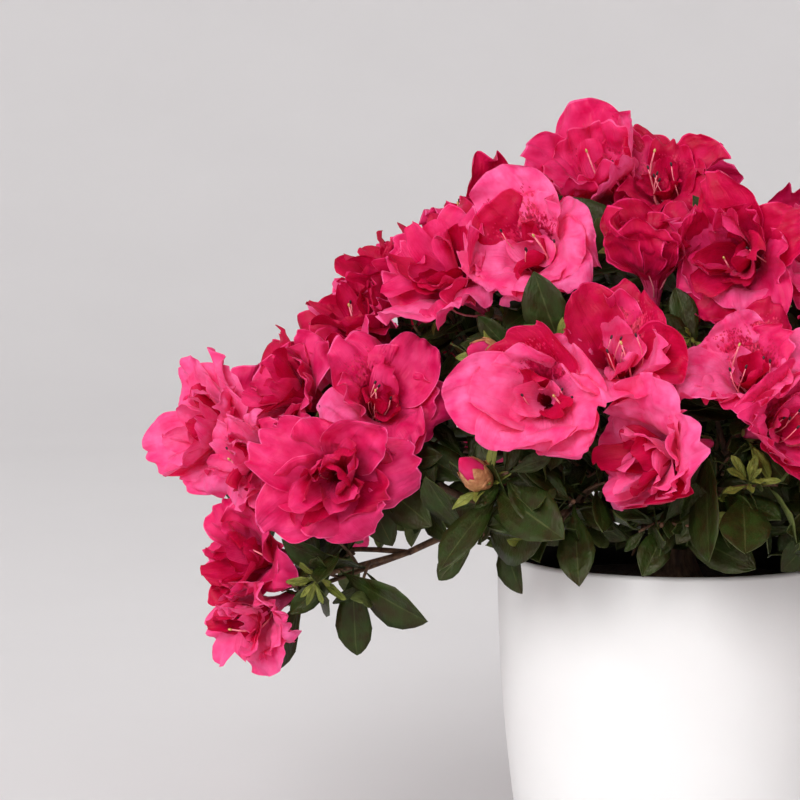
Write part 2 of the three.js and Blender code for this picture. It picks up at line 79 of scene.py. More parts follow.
GROWTH_STEP, LOOK_STEP, DETAIL_STEP, ROSETTE_STEP = 97, 7919, 31337, 7  # between masses' seeds
SOIL_STEP, LIMB_STEP = 5, 3


class Mass(Part):
    """A mass of foliage and blossom. The values below hold where its row gives no others."""

    blooms, shoots, ring = (), (), None
    lowest, fine_lowest = 116, 120  # how low its leaves may hang, and those of the finer growth
    free_shoots, most_buds = 2, 3
    stem_shoots = 5  # side shoots on its stem, which keep the heart of the crown dark

    def __init__(self, name, axis, reach, **values):
        super().__init__(name=name, axis=axis, reach=reach, **values)


# Directions are (azimuth, rise) from the trunk's fork, in degrees, with azimuth from +X towards
# +Y. A bloom is (azimuth, rise, reach, size, azimuth and rise that it faces, kind, painted light:
# 0 lit, 1 half lit, 2 shaded pink), and a shoot of leaves is the same without size, kind and
# painted light. A ring is (number of blooms, turn, lean).
MASSES = [
    Mass(
        "left_low_spray", (193, -4), 166, lowest=74, fine_lowest=112,
        free_shoots=0, stem_shoots=0,
        blooms=[
            (189, -3, 171, 0.97, 222, 5, "double", 1),
            (191.5, -11, 175, 0.82, 228, -16, "double", 0),
        ],
        shoots=[(199, -5, 148, 250, -25)],
    ),
    Mass(
        "left_spray", (190, 14), 168, lowest=122, fine_lowest=132,
        blooms=[
            (181, 12, 184, 1.16, 214, 10, "double", 0),
            (192, 10, 177, 0.72, 218, 0, "double", 0),
            (205, 10, 149, 1.14, 262, -4, "double", 1),
            (204, 24, 136, 0.98, 285, 28, "open", 1),
            (188, 20, 164, 0.98, 208, 25, "double", 1), (168, 11, 176, 1, 150, 12, "open", 1),
        ],
        shoots=[(177, 2, 168, 190, -25), (212, 5, 128, 240, -20), (162, 2, 140, 150, -10)],
    ),
    Mass(
        "left_shoulder", (175, 36), 152,
        blooms=[
            (184, 33, 148, 1.05, 205, 45, "double", 2),
            (175, 41, 150, 1.05, 190, 55, "double", 2), (160, 32, 158, 1, 152, 35, "open", 1),
        ],
        shoots=[(192, 43, 128, 200, 30)],
    ),
    Mass(
        "upper_left_mass", (218, 48), 142,
        blooms=[
            (206, 45, 143, 1.15, 222, 35, "double", 1),
            (226, 52, 142, 1.14, 243, 26, "open", 0),
        ],
        shoots=[(224, 36, 124, 240, 10)],
    ),
    Mass(
        "crown_top", (165, 78), 150,
        blooms=[
            (192, 77, 142, 1.1, 232, 50, "cup", 1), (246, 81, 140, 0.92, 244, 48, "open", 2),
            (76, 76, 130, 1, 62, 60, "double", 1), (152, 54, 152, 1, 152, 56, "open", 1),
        ],
    ),
    Mass(
        "upper_front_mass", (268, 55), 138,
        blooms=[
            (258, 56, 137, 0.95, 262, 68, "tulip", 2),
            (279, 52, 140, 1.08, 242, 12, "double", 1),
        ],
        shoots=[(244, 66, 122, 250, 30)],
    ),
    Mass(
        "front_middle_mass", (247, 30), 138,
        blooms=[
            (243, 26, 142, 1.15, 258, 12, "open", 0), (254, 35, 135, 1.05, 262, 42, "open", 0),
        ],
        shoots=[(238, 38, 122, 250, 10)],
    ),
    Mass(
        "front_bud_spray", (230, 12), 126, lowest=125, fine_lowest=141, most_buds=1,
        shoots=[(228, 13, 117, 238, 32), (244, 12, 106, 255, 28), (221, 3, 112, 232, -8)],
    ),
    Mass(
        "front_low_mass", (267, 14), 124, lowest=136, fine_lowest=142,
        blooms=[(261, 19, 126, 1.08, 212, -8, "double", 0)],
        shoots=[(278, 15, 117, 270, 40), (262, 8, 104, 268, 20)],
    ),
    Mass(
        "front_right_mass", (281, 29), 134,
        blooms=[
            (277, 33, 134, 1, 255, 35, "open", 0), (284, 23, 136, 0.95, 302, 12, "open", 1),
        ],
        shoots=[(268, 43, 118, 270, 20)],
    ),
    Mass(
        "upper_right_mass", (318, 54), 132,
        blooms=[
            (322, 62, 122, 1, 300, 50, "double", 1), (338, 48, 136, 1, 332, 45, "open", 0),
            (303, 44, 136, 1, 300, 38, "double", 1),
        ],
        shoots=[(290, 66, 118, 280, 45)],
    ),
    Mass("right_front_spray", (305, 14), 142, ring=(3, 90, 30)),
    Mass("right_end_spray", (341, 14), 154, ring=(3, 30, 30)),
    Mass("right_shoulder", (352, 41), 146, ring=(3, 90, 30)),
    Mass("right_back_spray", (19, 14), 152, ring=(3, 90, 30)),
    Mass("upper_right_back_mass", (38, 41), 147, ring=(3, 20, 32)),
    Mass("back_right_spray", (59, 14), 150, ring=(3, 30, 30)),
    Mass("upper_back_mass", (85, 44), 146, ring=(3, 90, 32)),
    Mass("back_left_spray", (101, 14), 152, ring=(3, 90, 30)),
    Mass("upper_back_left_mass", (128, 39), 150, ring=(3, 20, 32)),
    Mass("left_back_spray", (143, 12), 163, ring=(3, 30, 30)),
]

# Each bough leaves the fork its own way and carries two or three neighbouring masses.
BOUGHS = [
    ("left_bough", (192, 12), ["left_low_spray", "left_spray"]),
    ("upper_left_bough", (197, 54), ["left_shoulder", "upper_left_mass"]),
    ("front_left_bough", (236, 12), ["front_bud_spray", "front_middle_mass"]),
    ("front_bough", (279, 12), ["front_low_mass", "front_right_mass"]),
    ("top_bough", (285, 66), ["crown_top", "upper_front_mass", "upper_right_mass"]),
    ("right_front_bough", (322, 12), ["right_front_spray", "right_end_spray"]),
    ("right_bough", (5, 52), ["right_shoulder", "upper_right_back_mass"]),
    ("right_back_bough", (38, 12), ["right_back_spray", "back_right_spray"]),
    ("back_bough", (107, 54), ["upper_back_mass", "upper_back_left_mass"]),
    ("back_left_bough", (118, 12), ["back_left_spray", "left_back_spray"]),
]

# The crown is drawn in four sections, to keep each mesh small.
SECTIONS = {
    "left": MASSES[:3] + MASSES[20:],
    "front": MASSES[3:10],
    "right": MASSES[10:15],
    "back": MASSES[15:20],
}


def seeded(seed):
    """A small random generator, which gives the same draws as the one that the solids grow by."""
    state = seed & 0xFFFFFFFF

    def draw():
        nonlocal state
        state = (state + 0x6D2B79F5) & 0xFFFFFFFF
        t = ((state ^ (state >> 15)) * (state | 1)) & 0xFFFFFFFF
        t ^= (t + (((t ^ (t >> 7)) * (t | 61)) & 0xFFFFFFFF)) & 0xFFFFFFFF
        return (t ^ (t >> 14)) / 4294967296

    return draw


# ---- Vectors ----


def unit(vector):
    return vector / norm(vector)


def along(azimuth, rise):
    a, r = radians(azimuth), radians(rise)
    return np.array([cos(a) * cos(r), sin(a) * cos(r), sin(r)])


def across(axis):
    """The two directions across an axis: the first level, the second as upright as it can be."""
    level = unit(np.cross(UP, axis))
    return level, np.cross(axis, level)


def turned(axis, angle):
    level, upright = across(axis)
    return level * cos(angle) + upright * sin(angle)


def bezier(curve, t):
    """Points of a quadratic curve (start, bend, end) at the shares t."""
    a, b, c = curve
    t = np.asarray(t, float)[..., None]
    return (1 - t) ** 2 * a + 2 * (1 - t) * t * b + t**2 * c


def bezier_by_length(curve, share):
    """The point at a share of a quadratic curve's length."""
    t = np.linspace(0, 1, 201)
    points = bezier(curve, t)
    lengths = np.concatenate([[0], np.cumsum(norm(np.diff(points, axis=0), axis=1))])
    return bezier(curve, np.interp(share * lengths[-1], lengths, t))


def columns(*values):
    """Rows that hold each of the values in turn, as points do their coordinates."""
    return np.stack(np.broadcast_arrays(*values), -1)


def angles(count):
    return np.linspace(0, tau, count, endpoint=False)


# ---- The rule by which the plant grows ----


def placed_at(azimuth, rise, reach):
    return FORK + along(azimuth, rise) * reach


def bloom(draw, centre, facing, size, kind, tint):
    turn = tau * draw()
    draw()  # the solids take the ruffle of their blooms from this one
    lobes = [(0.96 + 0.16 * draw(), 7 * (draw() - 0.5)) for _ in range(5)]
    return Part(
        centre=centre, facing=facing, size=size, radius=BLOOM_RADIUS * size,
        turn=turn, lobes=lobes, kind=kind, tint=tint,
    )


def ring_of_blooms(mass):
    """Blooms in a ring round the mass's axis, each leaning away from it."""
    draw, look = mass.draw, mass.look
    count, turn, lean = mass.ring
    made = []
    for i in range(count):
        angle = radians(turn) + tau * i / count + 0.2 * (draw() - 0.5)
        aside = turned(mass.outward, angle)
        tilt = radians(lean) * (0.85 + 0.3 * draw())
        facing = mass.outward * cos(tilt) + aside * sin(tilt)
        centre = mass.head + aside * BLOOM_SPREAD + mass.outward * 8 * (draw() - 0.5)
        kind = ("open", "double", "open", "cup")[int(4 * look())]
        # Each bloom takes a lit, half-lit or shaded copy of the pink at random: painted light and
        # shade.
        made.append(bloom(draw, centre, facing, 0.93 + 0.16 * draw(), kind, int(3 * look())))
    return made


def drawn_into(walls, inside, point):
    """A point drawn back towards a point inside a cone until it lies inside as well."""
    line = point - inside
    steps = walls @ line
    room = np.maximum(0, walls @ (inside - FORK) - CLEAR / 2)
    shares = [room[i] / -steps[i] for i in range(len(walls)) if steps[i] < 0]
    return inside + line * min([1, *shares])


def start_mass(index, mass):
    mass.index = index
    mass.outward = along(*mass.axis)
    mass.head = FORK + mass.outward * mass.reach
    mass.draw = seeded(SEED + GROWTH_STEP * index)
    mass.look = seeded(SEED + LOOK_STEP * (index + 1))
    if mass.ring:
        mass.flowers = ring_of_blooms(mass)
    else:
        mass.flowers = [
            bloom(mass.draw, placed_at(*row[:3]), along(*row[4:6]), row[3], *row[6:])
            for row in mass.blooms
        ]
    ends = [flower.centre for flower in mass.flowers]
    ends += [placed_at(*row[:3]) for row in mass.shoots]
    mass.seeds = np.array([unit(end - FORK) for end in ends])
    mass.twigs, mass.fine, mass.leaves, mass.buds = [], [], [], []


def unit_rows(rows):
    return rows / norm(rows, axis=1)[:, None]


def set_space(mass):
    """The space of a mass, as one cone round each of its blooms and shoots."""
    others = np.concatenate([other.seeds for other in MASSES if other is not mass])
    mass.cones = [unit_rows(own - others) for own in mass.seeds]
    for i, flower in enumerate(mass.flowers):
        siblings = np.delete(mass.seeds, i, axis=0)
        own = mass.seeds[i]
        between = unit_rows(own - siblings) if len(siblings) else np.empty((0, 3))
        flower.walls = np.concatenate([mass.cones[i], between])
        inside = flower.centre - flower.facing * BLOOM_DEPTH
        root = flower.centre - flower.facing * (BLOOM_TUBE - 3)
        flower.root = drawn_into(flower.walls, inside, root)


def grow_bough(start, carried):
    """A bough's curve, and the curves of the stems that spring from its tip."""
    masses = [mass_by_name[name] for name in carried]
    middle = sum(mass.head - FORK for mass in masses) / len(masses)
    way = along(*start)
    to = FORK + middle * BOUGH_SHARE
    curve = (FORK + way * (KNUCKLE + CLEAR), FORK + way * BOUGH_BEND, to)
    end = unit(to - curve[1])
    for mass in masses:
        aside = mass.head - FORK - middle
        aside = unit(aside - end * (aside @ end))
        root = to + end * CLEAR + aside * BOUGH_SPLAY
        fork = mass.head - mass.outward * HEAD_DEPTH
        mass.stem = (root, root + end * STEM_BEND, fork)
    return curve


def in_space(mass, point, margin=MARGIN):
    way = point - FORK
    return any((walls @ way > margin).all() for walls in mass.cones)


def in_pot(point):
    return point[2] < POT_HEIGHT + 2 and hypot(point[0], point[1]) < RIM + 2.5


def touches_limb(mass, point):
    starts, lines, radii, owners = limbs
    t = np.clip(((point - starts) * lines).sum(1) / (lines * lines).sum(1), 0, 1)
    gaps = norm(starts + lines * t[:, None] - point, axis=1) - radii - BESIDE
    return bool((gaps[owners != mass.index] < 0).any())


def in_bloom(flower, point, grown=2.0):
    """Whether a point is in the cup and tube of a bloom."""
    way = point - flower.centre
    height = way @ flower.facing
    distance = sqrt(max(0, way @ way - height * height))
    radius = flower.radius
    throat = BLOOM_THROAT * radius
    if distance < throat:
        back = BLOOM_TUBE + (BLOOM_CUP - BLOOM_TUBE) * distance / throat
    else:
        back = BLOOM_CUP - (BLOOM_CUP + 2) * (distance - throat) / (radius - throat)
    return distance < radius + grown and -back - BESIDE < height < 0.5 * radius


def is_free(mass, point):
    if in_pot(point) or point[2] < mass.lowest or touches_limb(mass, point):
        return False
    return in_space(mass, point) and not any(in_bloom(f, point) for f in mass.flowers)


def leaf_points(leaf):
    base, direction, length = leaf.base, leaf.direction, leaf.length
    side = np.cross(leaf.face, direction) * LEAF_WIDTH * length / 2
    middle = base + direction * 0.55 * length
    ends = [base + direction * share * length for share in (0.3, 0.55, 0.8, 1)]
    return [*ends, middle + side, middle - side]


def settle(mass, leaf, shares, fits):
    """Adds a leaf at the first share of its length at which it fits, or leaves it out."""
    length = leaf.length
    for share in shares:
        leaf.length = share * length
        if all(fits(point) for point in leaf_points(leaf)):
            mass.leaves.append(leaf)
            return


def whorl(mass, twig, facing, count):
    """Leaves round the end of a twig. One with too little room stays smaller, or is left out."""
    draw, lowest = mass.draw, mass.lowest
    start = tau * draw()
    back = unit(twig[0] - twig[1])
    for i in range(count):
        aside = turned(facing, start + i * GOLDEN)
        opening = 0.35 + 0.3 * draw()
        length = LEAF_LENGTH * (0.82 + 0.34 * draw())
        direction = unit(aside + facing * opening - UP * 0.18)
        base = twig[1] + back * (i + 0.5 + 0.4 * draw()) * LEAF_GAP
        droop = (lowest + 1 - base[2]) / (0.9 * length)
        if direction[2] < droop:
            direction[2] = min(droop, 0.5)
            direction = unit(direction)
        face = unit(facing - direction * (facing @ direction))
        leaf = Part(base=base, direction=direction, face=face, length=length, young=False)
        settle(mass, leaf, (1, 0.8, 0.6), lambda point: is_free(mass, point))


def grow_shoot(mass, start, end, facing, leaves):
    """A leafy shoot, which may end in a flower bud."""
    draw = mass.draw
    budding = draw() < (BUDDING if mass.flowers else BARE_BUDDING)
    turn = tau * draw()
    if not all(is_free(mass, start + (end - start) * t) for t in (0.5, 0.75, 1)):
        return
    mass.twigs.append((start, end))
    whorl(mass, (start, end), facing, leaves)
    room = len(mass.buds) < mass.most_buds
    if budding and room and is_free(mass, end + facing * (BUD_LENGTH + 3)):
        mass.buds.append(Part(base=end, facing=facing, turn=turn))


def grow_mass(mass):
    draw, outward, stem = mass.draw, mass.outward, mass.stem
    for flower in mass.flowers:
        twig = (stem[2], flower.root)
        mass.twigs.append(twig)
        whorl(mass, twig, flower.facing, UNDER_BLOOM)
    for azimuth, rise, reach, *facing in mass.shoots:
        grow_shoot(mass, stem[2], placed_at(azimuth, rise, reach), along(*facing), ON_PLACED)
    first = tau * draw()
    for i in range(mass.free_shoots):
        aside = turned(outward, first + tau * i / mass.free_shoots + 0.5 * (draw() - 0.5))
        lean = radians(SHOOT_LEAN * (0.8 + 0.3 * draw()))
        facing = outward * cos(lean) + aside * sin(lean)
        start = bezier_by_length(stem, 0.55 + 0.45 * draw())
        end = start + facing * SHOOT_LENGTH * (0.7 + 0.4 * draw())
        grow_shoot(mass, start, end, facing, ON_SHOOT)


mass_by_name = {mass.name: mass for mass in MASSES}
for index, mass in enumerate(MASSES):
    start_mass(index, mass)
for mass in MASSES:
    set_space(mass)
bough_curves = [grow_bough(start, carried) for _, start, carried in BOUGHS]


def limb_segments():
    """Every bough, stem and the trunk as straight segments: starts, lines, radii and owners."""
    rows = []
    for curve in bough_curves:
        points = bezier(curve, np.linspace(0, 1, 6))
        rows += [(a, b - a, BOUGH_BASE, -1) for a, b in zip(points, points[1:])]
    rows += [(m.stem[0], m.stem[2] - m.stem[0], STEM_BASE, m.index) for m in MASSES]
    rows.append((UP * SOIL_TOP, FORK - UP * SOIL_TOP, KNUCKLE, -1))
    return [np.array(column) for column in zip(*rows)]


limbs = limb_segments()
for mass in MASSES:
    grow_mass(mass)

# ---- The rule carried on to finer twigs and more leaves ----

FINE_TWIGS = 3  # side shoots on each twig
BOUGH_SHOOTS = 4  # and on each bough
FINE_LENGTH, FINE_BASE, FINE_TIP = 20, 0.75, 0.5
FINE_LEAVES = 5
COLLAR_LEAVES = 6  # more leaves close under each bloom
ROSETTE_LEAVES = 9  # young leaves at the end of a mass's first placed shoot
TWIG_LEAF, STEM_LEAF, COLLAR_LEAF, BOUGH_LEAF = 30, 32, 36, 28  # lengths of the leaves there
INTO, INTO_ROSETTE, INTO_BOUGH = 5, 8, 30  # how far a leaf may stand into the next mass
BEYOND = 6  # how far it may stand past its mass's reach
NEAR = 75  # how far off a bloom can still be in a leaf's way
all_flowers = [flower for mass in MASSES for flower in mass.flowers]


def near_flowers(point):
    return [f for f in all_flowers if norm(f.centre - point) < NEAR]


def has_room(mass, point, flowers, into):
    """As is_free, but a leaf may stand a little into the next mass, as it does on the plant."""
    if in_pot(point) or point[2] < mass.fine_lowest:
        return False
    if norm(point - FORK) > mass.reach + BEYOND:
        return False
    return in_space(mass, point, -into) and not any(in_bloom(f, point, -1) for f in flowers)


def add_leaf(mass, base, direction, facing, length, young, into):
    direction = unit(direction)
    face = facing - direction * (facing @ direction)
    if norm(face) < 1e-3:
        return
    flowers = near_flowers(base)
    leaf = Part(base=base, direction=direction, face=unit(face), length=length, young=young)
    settle(mass, leaf, (1, 0.75, 0.5), lambda point: has_room(mass, point, flowers, into))


def leafy_end(mass, start, end, facing, count, length, into=INTO):
    """Leaves in a spiral down the end of a shoot, the youngest the smallest and most upright."""
    draw = mass.look
    turn = tau * draw()
    back = unit(start - end)
    reach = norm(end - start)
    for i in range(count):
        age = (i + 0.5) / count
        aside = turned(facing, turn + i * GOLDEN)
        base = end + back * min(0.85 * reach, 0.6 + 2.2 * i * (1 + 0.3 * draw()))
        opening = 1.1 - 0.85 * age + 0.3 * (draw() - 0.5)
        direction = aside + facing * opening - UP * (0.1 + 0.2 * draw())
        size = length * (0.6 + 0.4 * age) * (0.85 + 0.3 * draw())
        is_young = age < 0.3 and draw() < 0.4
        add_leaf(mass, base, direction, facing, size, is_young, into)


def rosette(mass, draw, tip, facing):
    """Small young leaves that open round the end of a shoot."""
    turn = tau * draw()
    for i in range(ROSETTE_LEAVES):
        direction = turned(facing, turn + i * GOLDEN) + facing * (0.25 + 1.5 * i / ROSETTE_LEAVES)
        length = (16 - 0.8 * i) * (0.8 + 0.4 * draw())
        add_leaf(mass, tip + facing * 0.4 * i, direction, facing, length, True, INTO_ROSETTE)


def grow_side_shoot(mass, root, facing, length, leaf_length, into=INTO):
    tip = root + facing * length
    if has_room(mass, tip, near_flowers(tip), into):
        mass.fine.append((root, tip))
        leafy_end(mass, root, tip, facing, FINE_LEAVES, leaf_length, into)


def grow_off_curve(mass, curve, count, leaf_length, into):
    """Leafy shoots that leave a stem or a bough in a spiral."""
    draw = mass.look
    turn = tau * draw()
    for i in range(count):
        share = 0.2 + 0.7 * (i + draw()) / count
        root = bezier(curve, share)
        way = unit(bezier(curve, share + 0.05) - root)
        facing = unit(0.6 * way + turned(way, turn + i * GOLDEN))
        length = FINE_LENGTH * (0.8 + 0.5 * draw())
        grow_side_shoot(mass, root, facing, length, leaf_length, into)


def grow_finer(mass):
    draw = mass.look
    for start, end in list(mass.twigs):
        line = end - start
        way = unit(line)
        turn = tau * draw()
        for i in range(FINE_TWIGS):
            root = start + line * (0.3 + 0.6 * (i + draw()) / FINE_TWIGS)
            lean = radians(35 + 30 * draw())
            aside = turned(way, turn + i * GOLDEN)
            facing = unit(way * cos(lean) + aside * sin(lean) + UP * 0.15)
            length = FINE_LENGTH * (0.6 + 0.7 * draw())
            grow_side_shoot(mass, root, facing, length, TWIG_LEAF)
    grow_off_curve(mass, mass.stem, mass.stem_shoots, STEM_LEAF, INTO)
    for flower in mass.flowers:
        leafy_end(mass, mass.stem[2], flower.root, flower.facing, COLLAR_LEAVES, COLLAR_LEAF)


for mass in MASSES:
    grow_finer(mass)
    for shoot in mass.shoots[:1]:
        draw = seeded(SEED + ROSETTE_STEP * mass.index)
        rosette(mass, draw, placed_at(*shoot[:3]), along(*shoot[3:]))
for curve, (_, _, carried) in zip(bough_curves, BOUGHS):
    grow_off_curve(mass_by_name[carried[-1]], curve, BOUGH_SHOOTS, BOUGH_LEAF, INTO_BOUGH)

# ---- Meshes ----

ON_MAP = "along"  # the map of a petal or leaf: across it, and from its foot to its tip


class Shapes:
    """Vertices and faces of many small shapes, which end up as one mesh."""

    def __init__(self):
        self.points, self.faces, self.slots, self.uvs = [], [], [], []
        self.count = 0

    def add(self, points, faces, slots, uv=None):
        """faces is rows of 3 or 4 corners or a tuple of such, slots one number or one a face."""
        points = np.asarray(points, float).reshape(-1, 3)
        for batch in faces if isinstance(faces, tuple) else (faces,):
            self.faces.append(np.asarray(batch) + self.count)
            self.slots.append(np.broadcast_to(slots, len(batch)))
        self.points.append(points)
        self.uvs.append(np.zeros((len(points), 2)) if uv is None else uv)
        self.count += len(points)

    def make(self, name, materials):
        mesh = bpy.data.meshes.new(name)
        faces = [face for batch in self.faces for face in batch.tolist()]
        mesh.from_pydata(np.concatenate(self.points) * MM, [], faces)
        mesh.polygons.foreach_set("material_index", np.concatenate(self.slots).astype(np.int32))
        mesh.shade_smooth()
        corners = np.concatenate([batch.ravel() for batch in self.faces])
        uv = mesh.uv_layers.new(name=ON_MAP)
        uv.data.foreach_set("uv", np.concatenate(self.uvs)[corners].ravel())
        for material in materials:
            mesh.materials.append(material)
        mesh.validate()
        made = bpy.data.objects.new(name, mesh)
        bpy.context.scene.collection.objects.link(made)
        return made


def grid_faces(rows, width, closed=False):
    """Quads of a grid of points, width to a row, whose rows may close on themselves."""
    row, column = np.mgrid[0 : rows - 1, 0 : width - (0 if closed else 1)]
    a = row * width + column
    b = row * width + (column + 1) % width
    return columns(a, b, b + width, a + width).reshape(-1, 4)


def smooth_step(x):
    x = np.clip(x, 0, 1)
    return x * x * (3 - 2 * x)


def frames_along(points):
    """At each point of a line, two directions across it that turn as little as they can."""
    ways = np.gradient(points, axis=0)
    ways /= norm(ways, axis=1)[:, None]
    first = np.cross(ways[0], UP if abs(ways[0][2]) < 0.9 else [1.0, 0, 0])
    sides = []
    for way in ways:
        first = unit(first - way * (first @ way))
        sides.append(first)
    sides = np.array(sides)
    return sides, np.cross(ways, sides)


def closed_rings(surface, first, last):
    """Points and faces of rings of points, closed by one more point at each end."""
    rows, sides, _ = surface.shape
    points = np.concatenate([surface.reshape(-1, 3), [first, last]])
    i = np.arange(sides)
    j = (i + 1) % sides
    foot, head, top = rows * sides, rows * sides + 1, (rows - 1) * sides
    caps = np.concatenate([columns(foot, j, i), columns(head, top + i, top + j)])
    return points, (grid_faces(rows, sides, closed=True), caps)


def limb_surface(line, radii, sides):
    """A round limb along a line. radii is one number, one a ring, or one for each point."""
    line = np.asarray(line, float)
    radii = np.atleast_2d(radii).T if np.ndim(radii) < 2 else radii
    one, two = frames_along(line)
    angle = angles(sides)[:, None]
    ring = np.cos(angle) * one[:, None] + np.sin(angle) * two[:, None]
    surface = line[:, None] + ring * np.broadcast_to(radii, (len(line), sides))[..., None]
    return closed_rings(surface, line[0], line[-1])


def revolve(profile, segments):
    """Rings of points round the z axis, from rows of (radius, height)."""
    radius, height = np.asarray(profile, float).T[..., None]
    return columns(radius * np.cos(angles(segments)), radius * np.sin(angles(segments)), height)


def waves(draw, side, length, count, shortest, longest):
    """Smooth unevenness over a sheet, as a sum of waves that run every way, from -1 to 1."""
    total = 0
    for _ in range(count):
        angle = pi * draw()
        size = shortest + (longest - shortest) * draw()
        run = side * cos(angle) + length * sin(angle)
        total = total + np.sin(tau * (run / size + draw()))
    return total / count


# ---- Petals ----

# Slots of the blossom's materials: the blades in lit, half-lit and shaded copies of one pink, which
# paint light and shade onto the petals, and what is the same on all. The edge copy, lighter still,
# is a painted highlight, and the throat's darker crimson is painted shade.
LIT, HALF_LIT, SHADED, EDGE_HIGHLIGHT, THROAT_SHADE, TUBE, FLECK, FILAMENT, ANTHER, STYLE, SEPAL, SCALE = range(12)

# Shares of a petal's length and of its half width at which the rows and columns of its mesh lie.
PETAL_GRID = (
    np.concatenate([np.linspace(0, 0.36, 5), np.linspace(0.42, 0.985, 20), [1]]),
    np.concatenate([[-1, -0.965], np.linspace(-0.87, 0.87, 15), [0.965, 1]]),
)
SMALL_GRID = (
    np.concatenate([np.linspace(0, 0.97, 10), [1]]),
    np.concatenate([[-1, -0.94], np.linspace(-0.7, 0.7, 6), [0.94, 1]]),
)
SEPAL_GRID = (np.linspace(0, 1, 5), np.linspace(-1, 1, 4))
PETAL_LENGTH, PETAL_WIDTH = 45, 25
INNER = 0.8  # the size of the inner whorl's petals
PRESS_OVER, PRESS_SOFT = 5.0, 6.0  # how far petals may pass a neighbour's wall, and yield near it
FLECKS = (330, 110, 280)  # on the uppermost inner petal, the next one, and the uppermost outer one


class Petal(Part):
    """The shape of a petal. The values below hold where none are given."""

    crease, twist, sweep, lift, rolls = 0, 0, 0, 0, (0, 0)
    pleats, pleat = 1, 0


def petal_grid(grid, shape, draw):
    """Points of one petal round the bloom's axis, which is z here, and its row and column shares.

    Its middle line leaves the axis at the angle foot, bends to flare past the throat and ends at
    tip. It wraps round the axis in the tube and opens into a lobe with a round end.
    """
    v, u = np.meshgrid(*grid, indexing="ij")
    throat, widest = shape.throat, shape.widest
    lobe = np.clip((v - throat) / (1 - throat), 0, 1)
    past = np.clip((lobe - widest) / (1 - widest), 0, 1)
    rounded = widest + (1 - widest) * past * np.sqrt(1 - u**2 / 2)
    at = np.where(past > 0, throat + (1 - throat) * rounded, v)

    fine = np.linspace(0, 1, 61)
    angle = (
        shape.foot
        + (shape.open - shape.foot) * smooth_step((fine - 0.08) / throat)
        + (shape.flare - shape.open) * smooth_step((fine - 0.9 * throat) / 0.42)
        + (shape.tip - shape.flare) * smooth_step((fine - 0.7) / 0.3)
    )
    angle = np.radians(angle)
    step = shape.length / (len(fine) - 1)
    r_line, z_line = (
        start + np.concatenate([[0], np.cumsum(part(angle[:-1]) * step)])
        for start, part in zip(shape.start, (np.sin, np.cos))
    )
    r, z, a = (np.interp(at, fine, line) for line in (r_line, z_line, angle))

    narrow = np.maximum(r, 1.2) * pi / shape.share * 1.12
    swell = np.sin(np.minimum(lobe / widest, 1) * pi / 2)
    root = np.minimum(narrow, 9)
    half = root + (shape.width / 2 - root) * swell
    half = np.where(lobe > 0, half * np.sqrt(1 - past**2 / 2), np.minimum(narrow, half))

    round_edge = np.arctan2(u, 1.15 * (lobe - 0.35)) / tau

    def rippled(count):
        return np.sin(tau * (count * round_edge + draw()))

    half = half * (1 + 0.016 * (rippled(7) + rippled(16)) * lobe)

    opened = smooth_step((v - 0.75 * throat) / 0.35)
    bend = (1 - opened) / np.maximum(r, 2.0) + opened * shape.cupped
    bend = np.where(np.abs(bend) < 1e-4, 1e-4, bend)
    s = u * half
    side = np.sin(bend * s) / bend
    rise = (1 - np.cos(bend * s)) / bend

    edge = (1 - (1 - np.abs(u) ** 2.2) * (1 - lobe**4)) * lobe**0.7
    crimp = rippled(shape.waves) + 0.25 * rippled(1.9 * shape.waves)
    rise += shape.ruffle * edge * (crimp * min(1, 6 / shape.waves))
    length = v * shape.length
    rise += shape.crumple * lobe**0.6 * waves(draw, s, length, 4, 7, 20)
    rise += 0.45 * shape.crumple * lobe * waves(draw, s, length, 4, 4, 8)
    rise -= shape.crease * np.abs(s) * lobe
    rise += np.where(u > 0, *shape.rolls) * np.abs(u) ** 3 * lobe
    fold = np.arcsin(0.85 * np.sin(pi * shape.pleats * u + 6 * draw() + 0.8 * lobe))
    rise += shape.pleat * fold * lobe**0.8 * (0.5 + 0.5 * np.abs(u)) * (1 - 0.5 * lobe**4)

    twist = shape.twist * lobe**1.3
    c, s = np.cos(twist), np.sin(twist)
    side, rise = side * c - rise * s, side * s + rise * c

    around = shape.around + shape.sweep * lobe**1.5
    c, s = np.cos(around), np.sin(around)
    radial, tangent = columns(c, s, 0), columns(-s, c, 0)
    r, z, side, rise, a = (values[..., None] for values in (r, z, side, rise, a))
    inner = -radial * np.cos(a) + UP * np.sin(a)
    points = radial * r + UP * z + tangent * side + inner * rise
    points[..., 2] += shape.lift * lobe**1.5
    return points, v, u, lobe


def face_values(values):
    """The mean of a grid's values at the corners of each face."""
    return (values[:-1, :-1] + values[1:, :-1] + values[:-1, 1:] + values[1:, 1:]).ravel() / 4


def add_petal(shapes, place, grid, shape, draw, tint, foot_slot, foot_share):
    """A petal, with its foot and its thin edge in colours of their own: the foot in the tube's pale
    pink or in the throat's painted shade, the edge one step lighter, a painted highlight.
    """
    points, v, u, lobe = petal_grid(grid, shape, draw)
    faces = grid_faces(*v.shape)
    slots = np.full(len(faces), tint)
    up, over = face_values(v), np.abs(face_values(u))
    jitter = np.array([draw() for _ in range(len(faces))])
    # The foot takes the tube's own pale pink, or on inner petals the throat's dark crimson, painted
    # shade.
    slots[up + 0.1 * (jitter - 0.5) < foot_share * (1 - 0.4 * over)] = foot_slot
    # The thin edge is painted one step lighter than the blade: a painted highlight along the rim.
    is_edge = ((over > 0.97) | (up > 0.985)) & (face_values(lobe) > 0.15)
    slots[is_edge] = EDGE_HIGHLIGHT if tint == LIT else tint - 1
    shapes.add(place(points), faces, slots, columns(u.ravel(), v.ravel()))
    return points


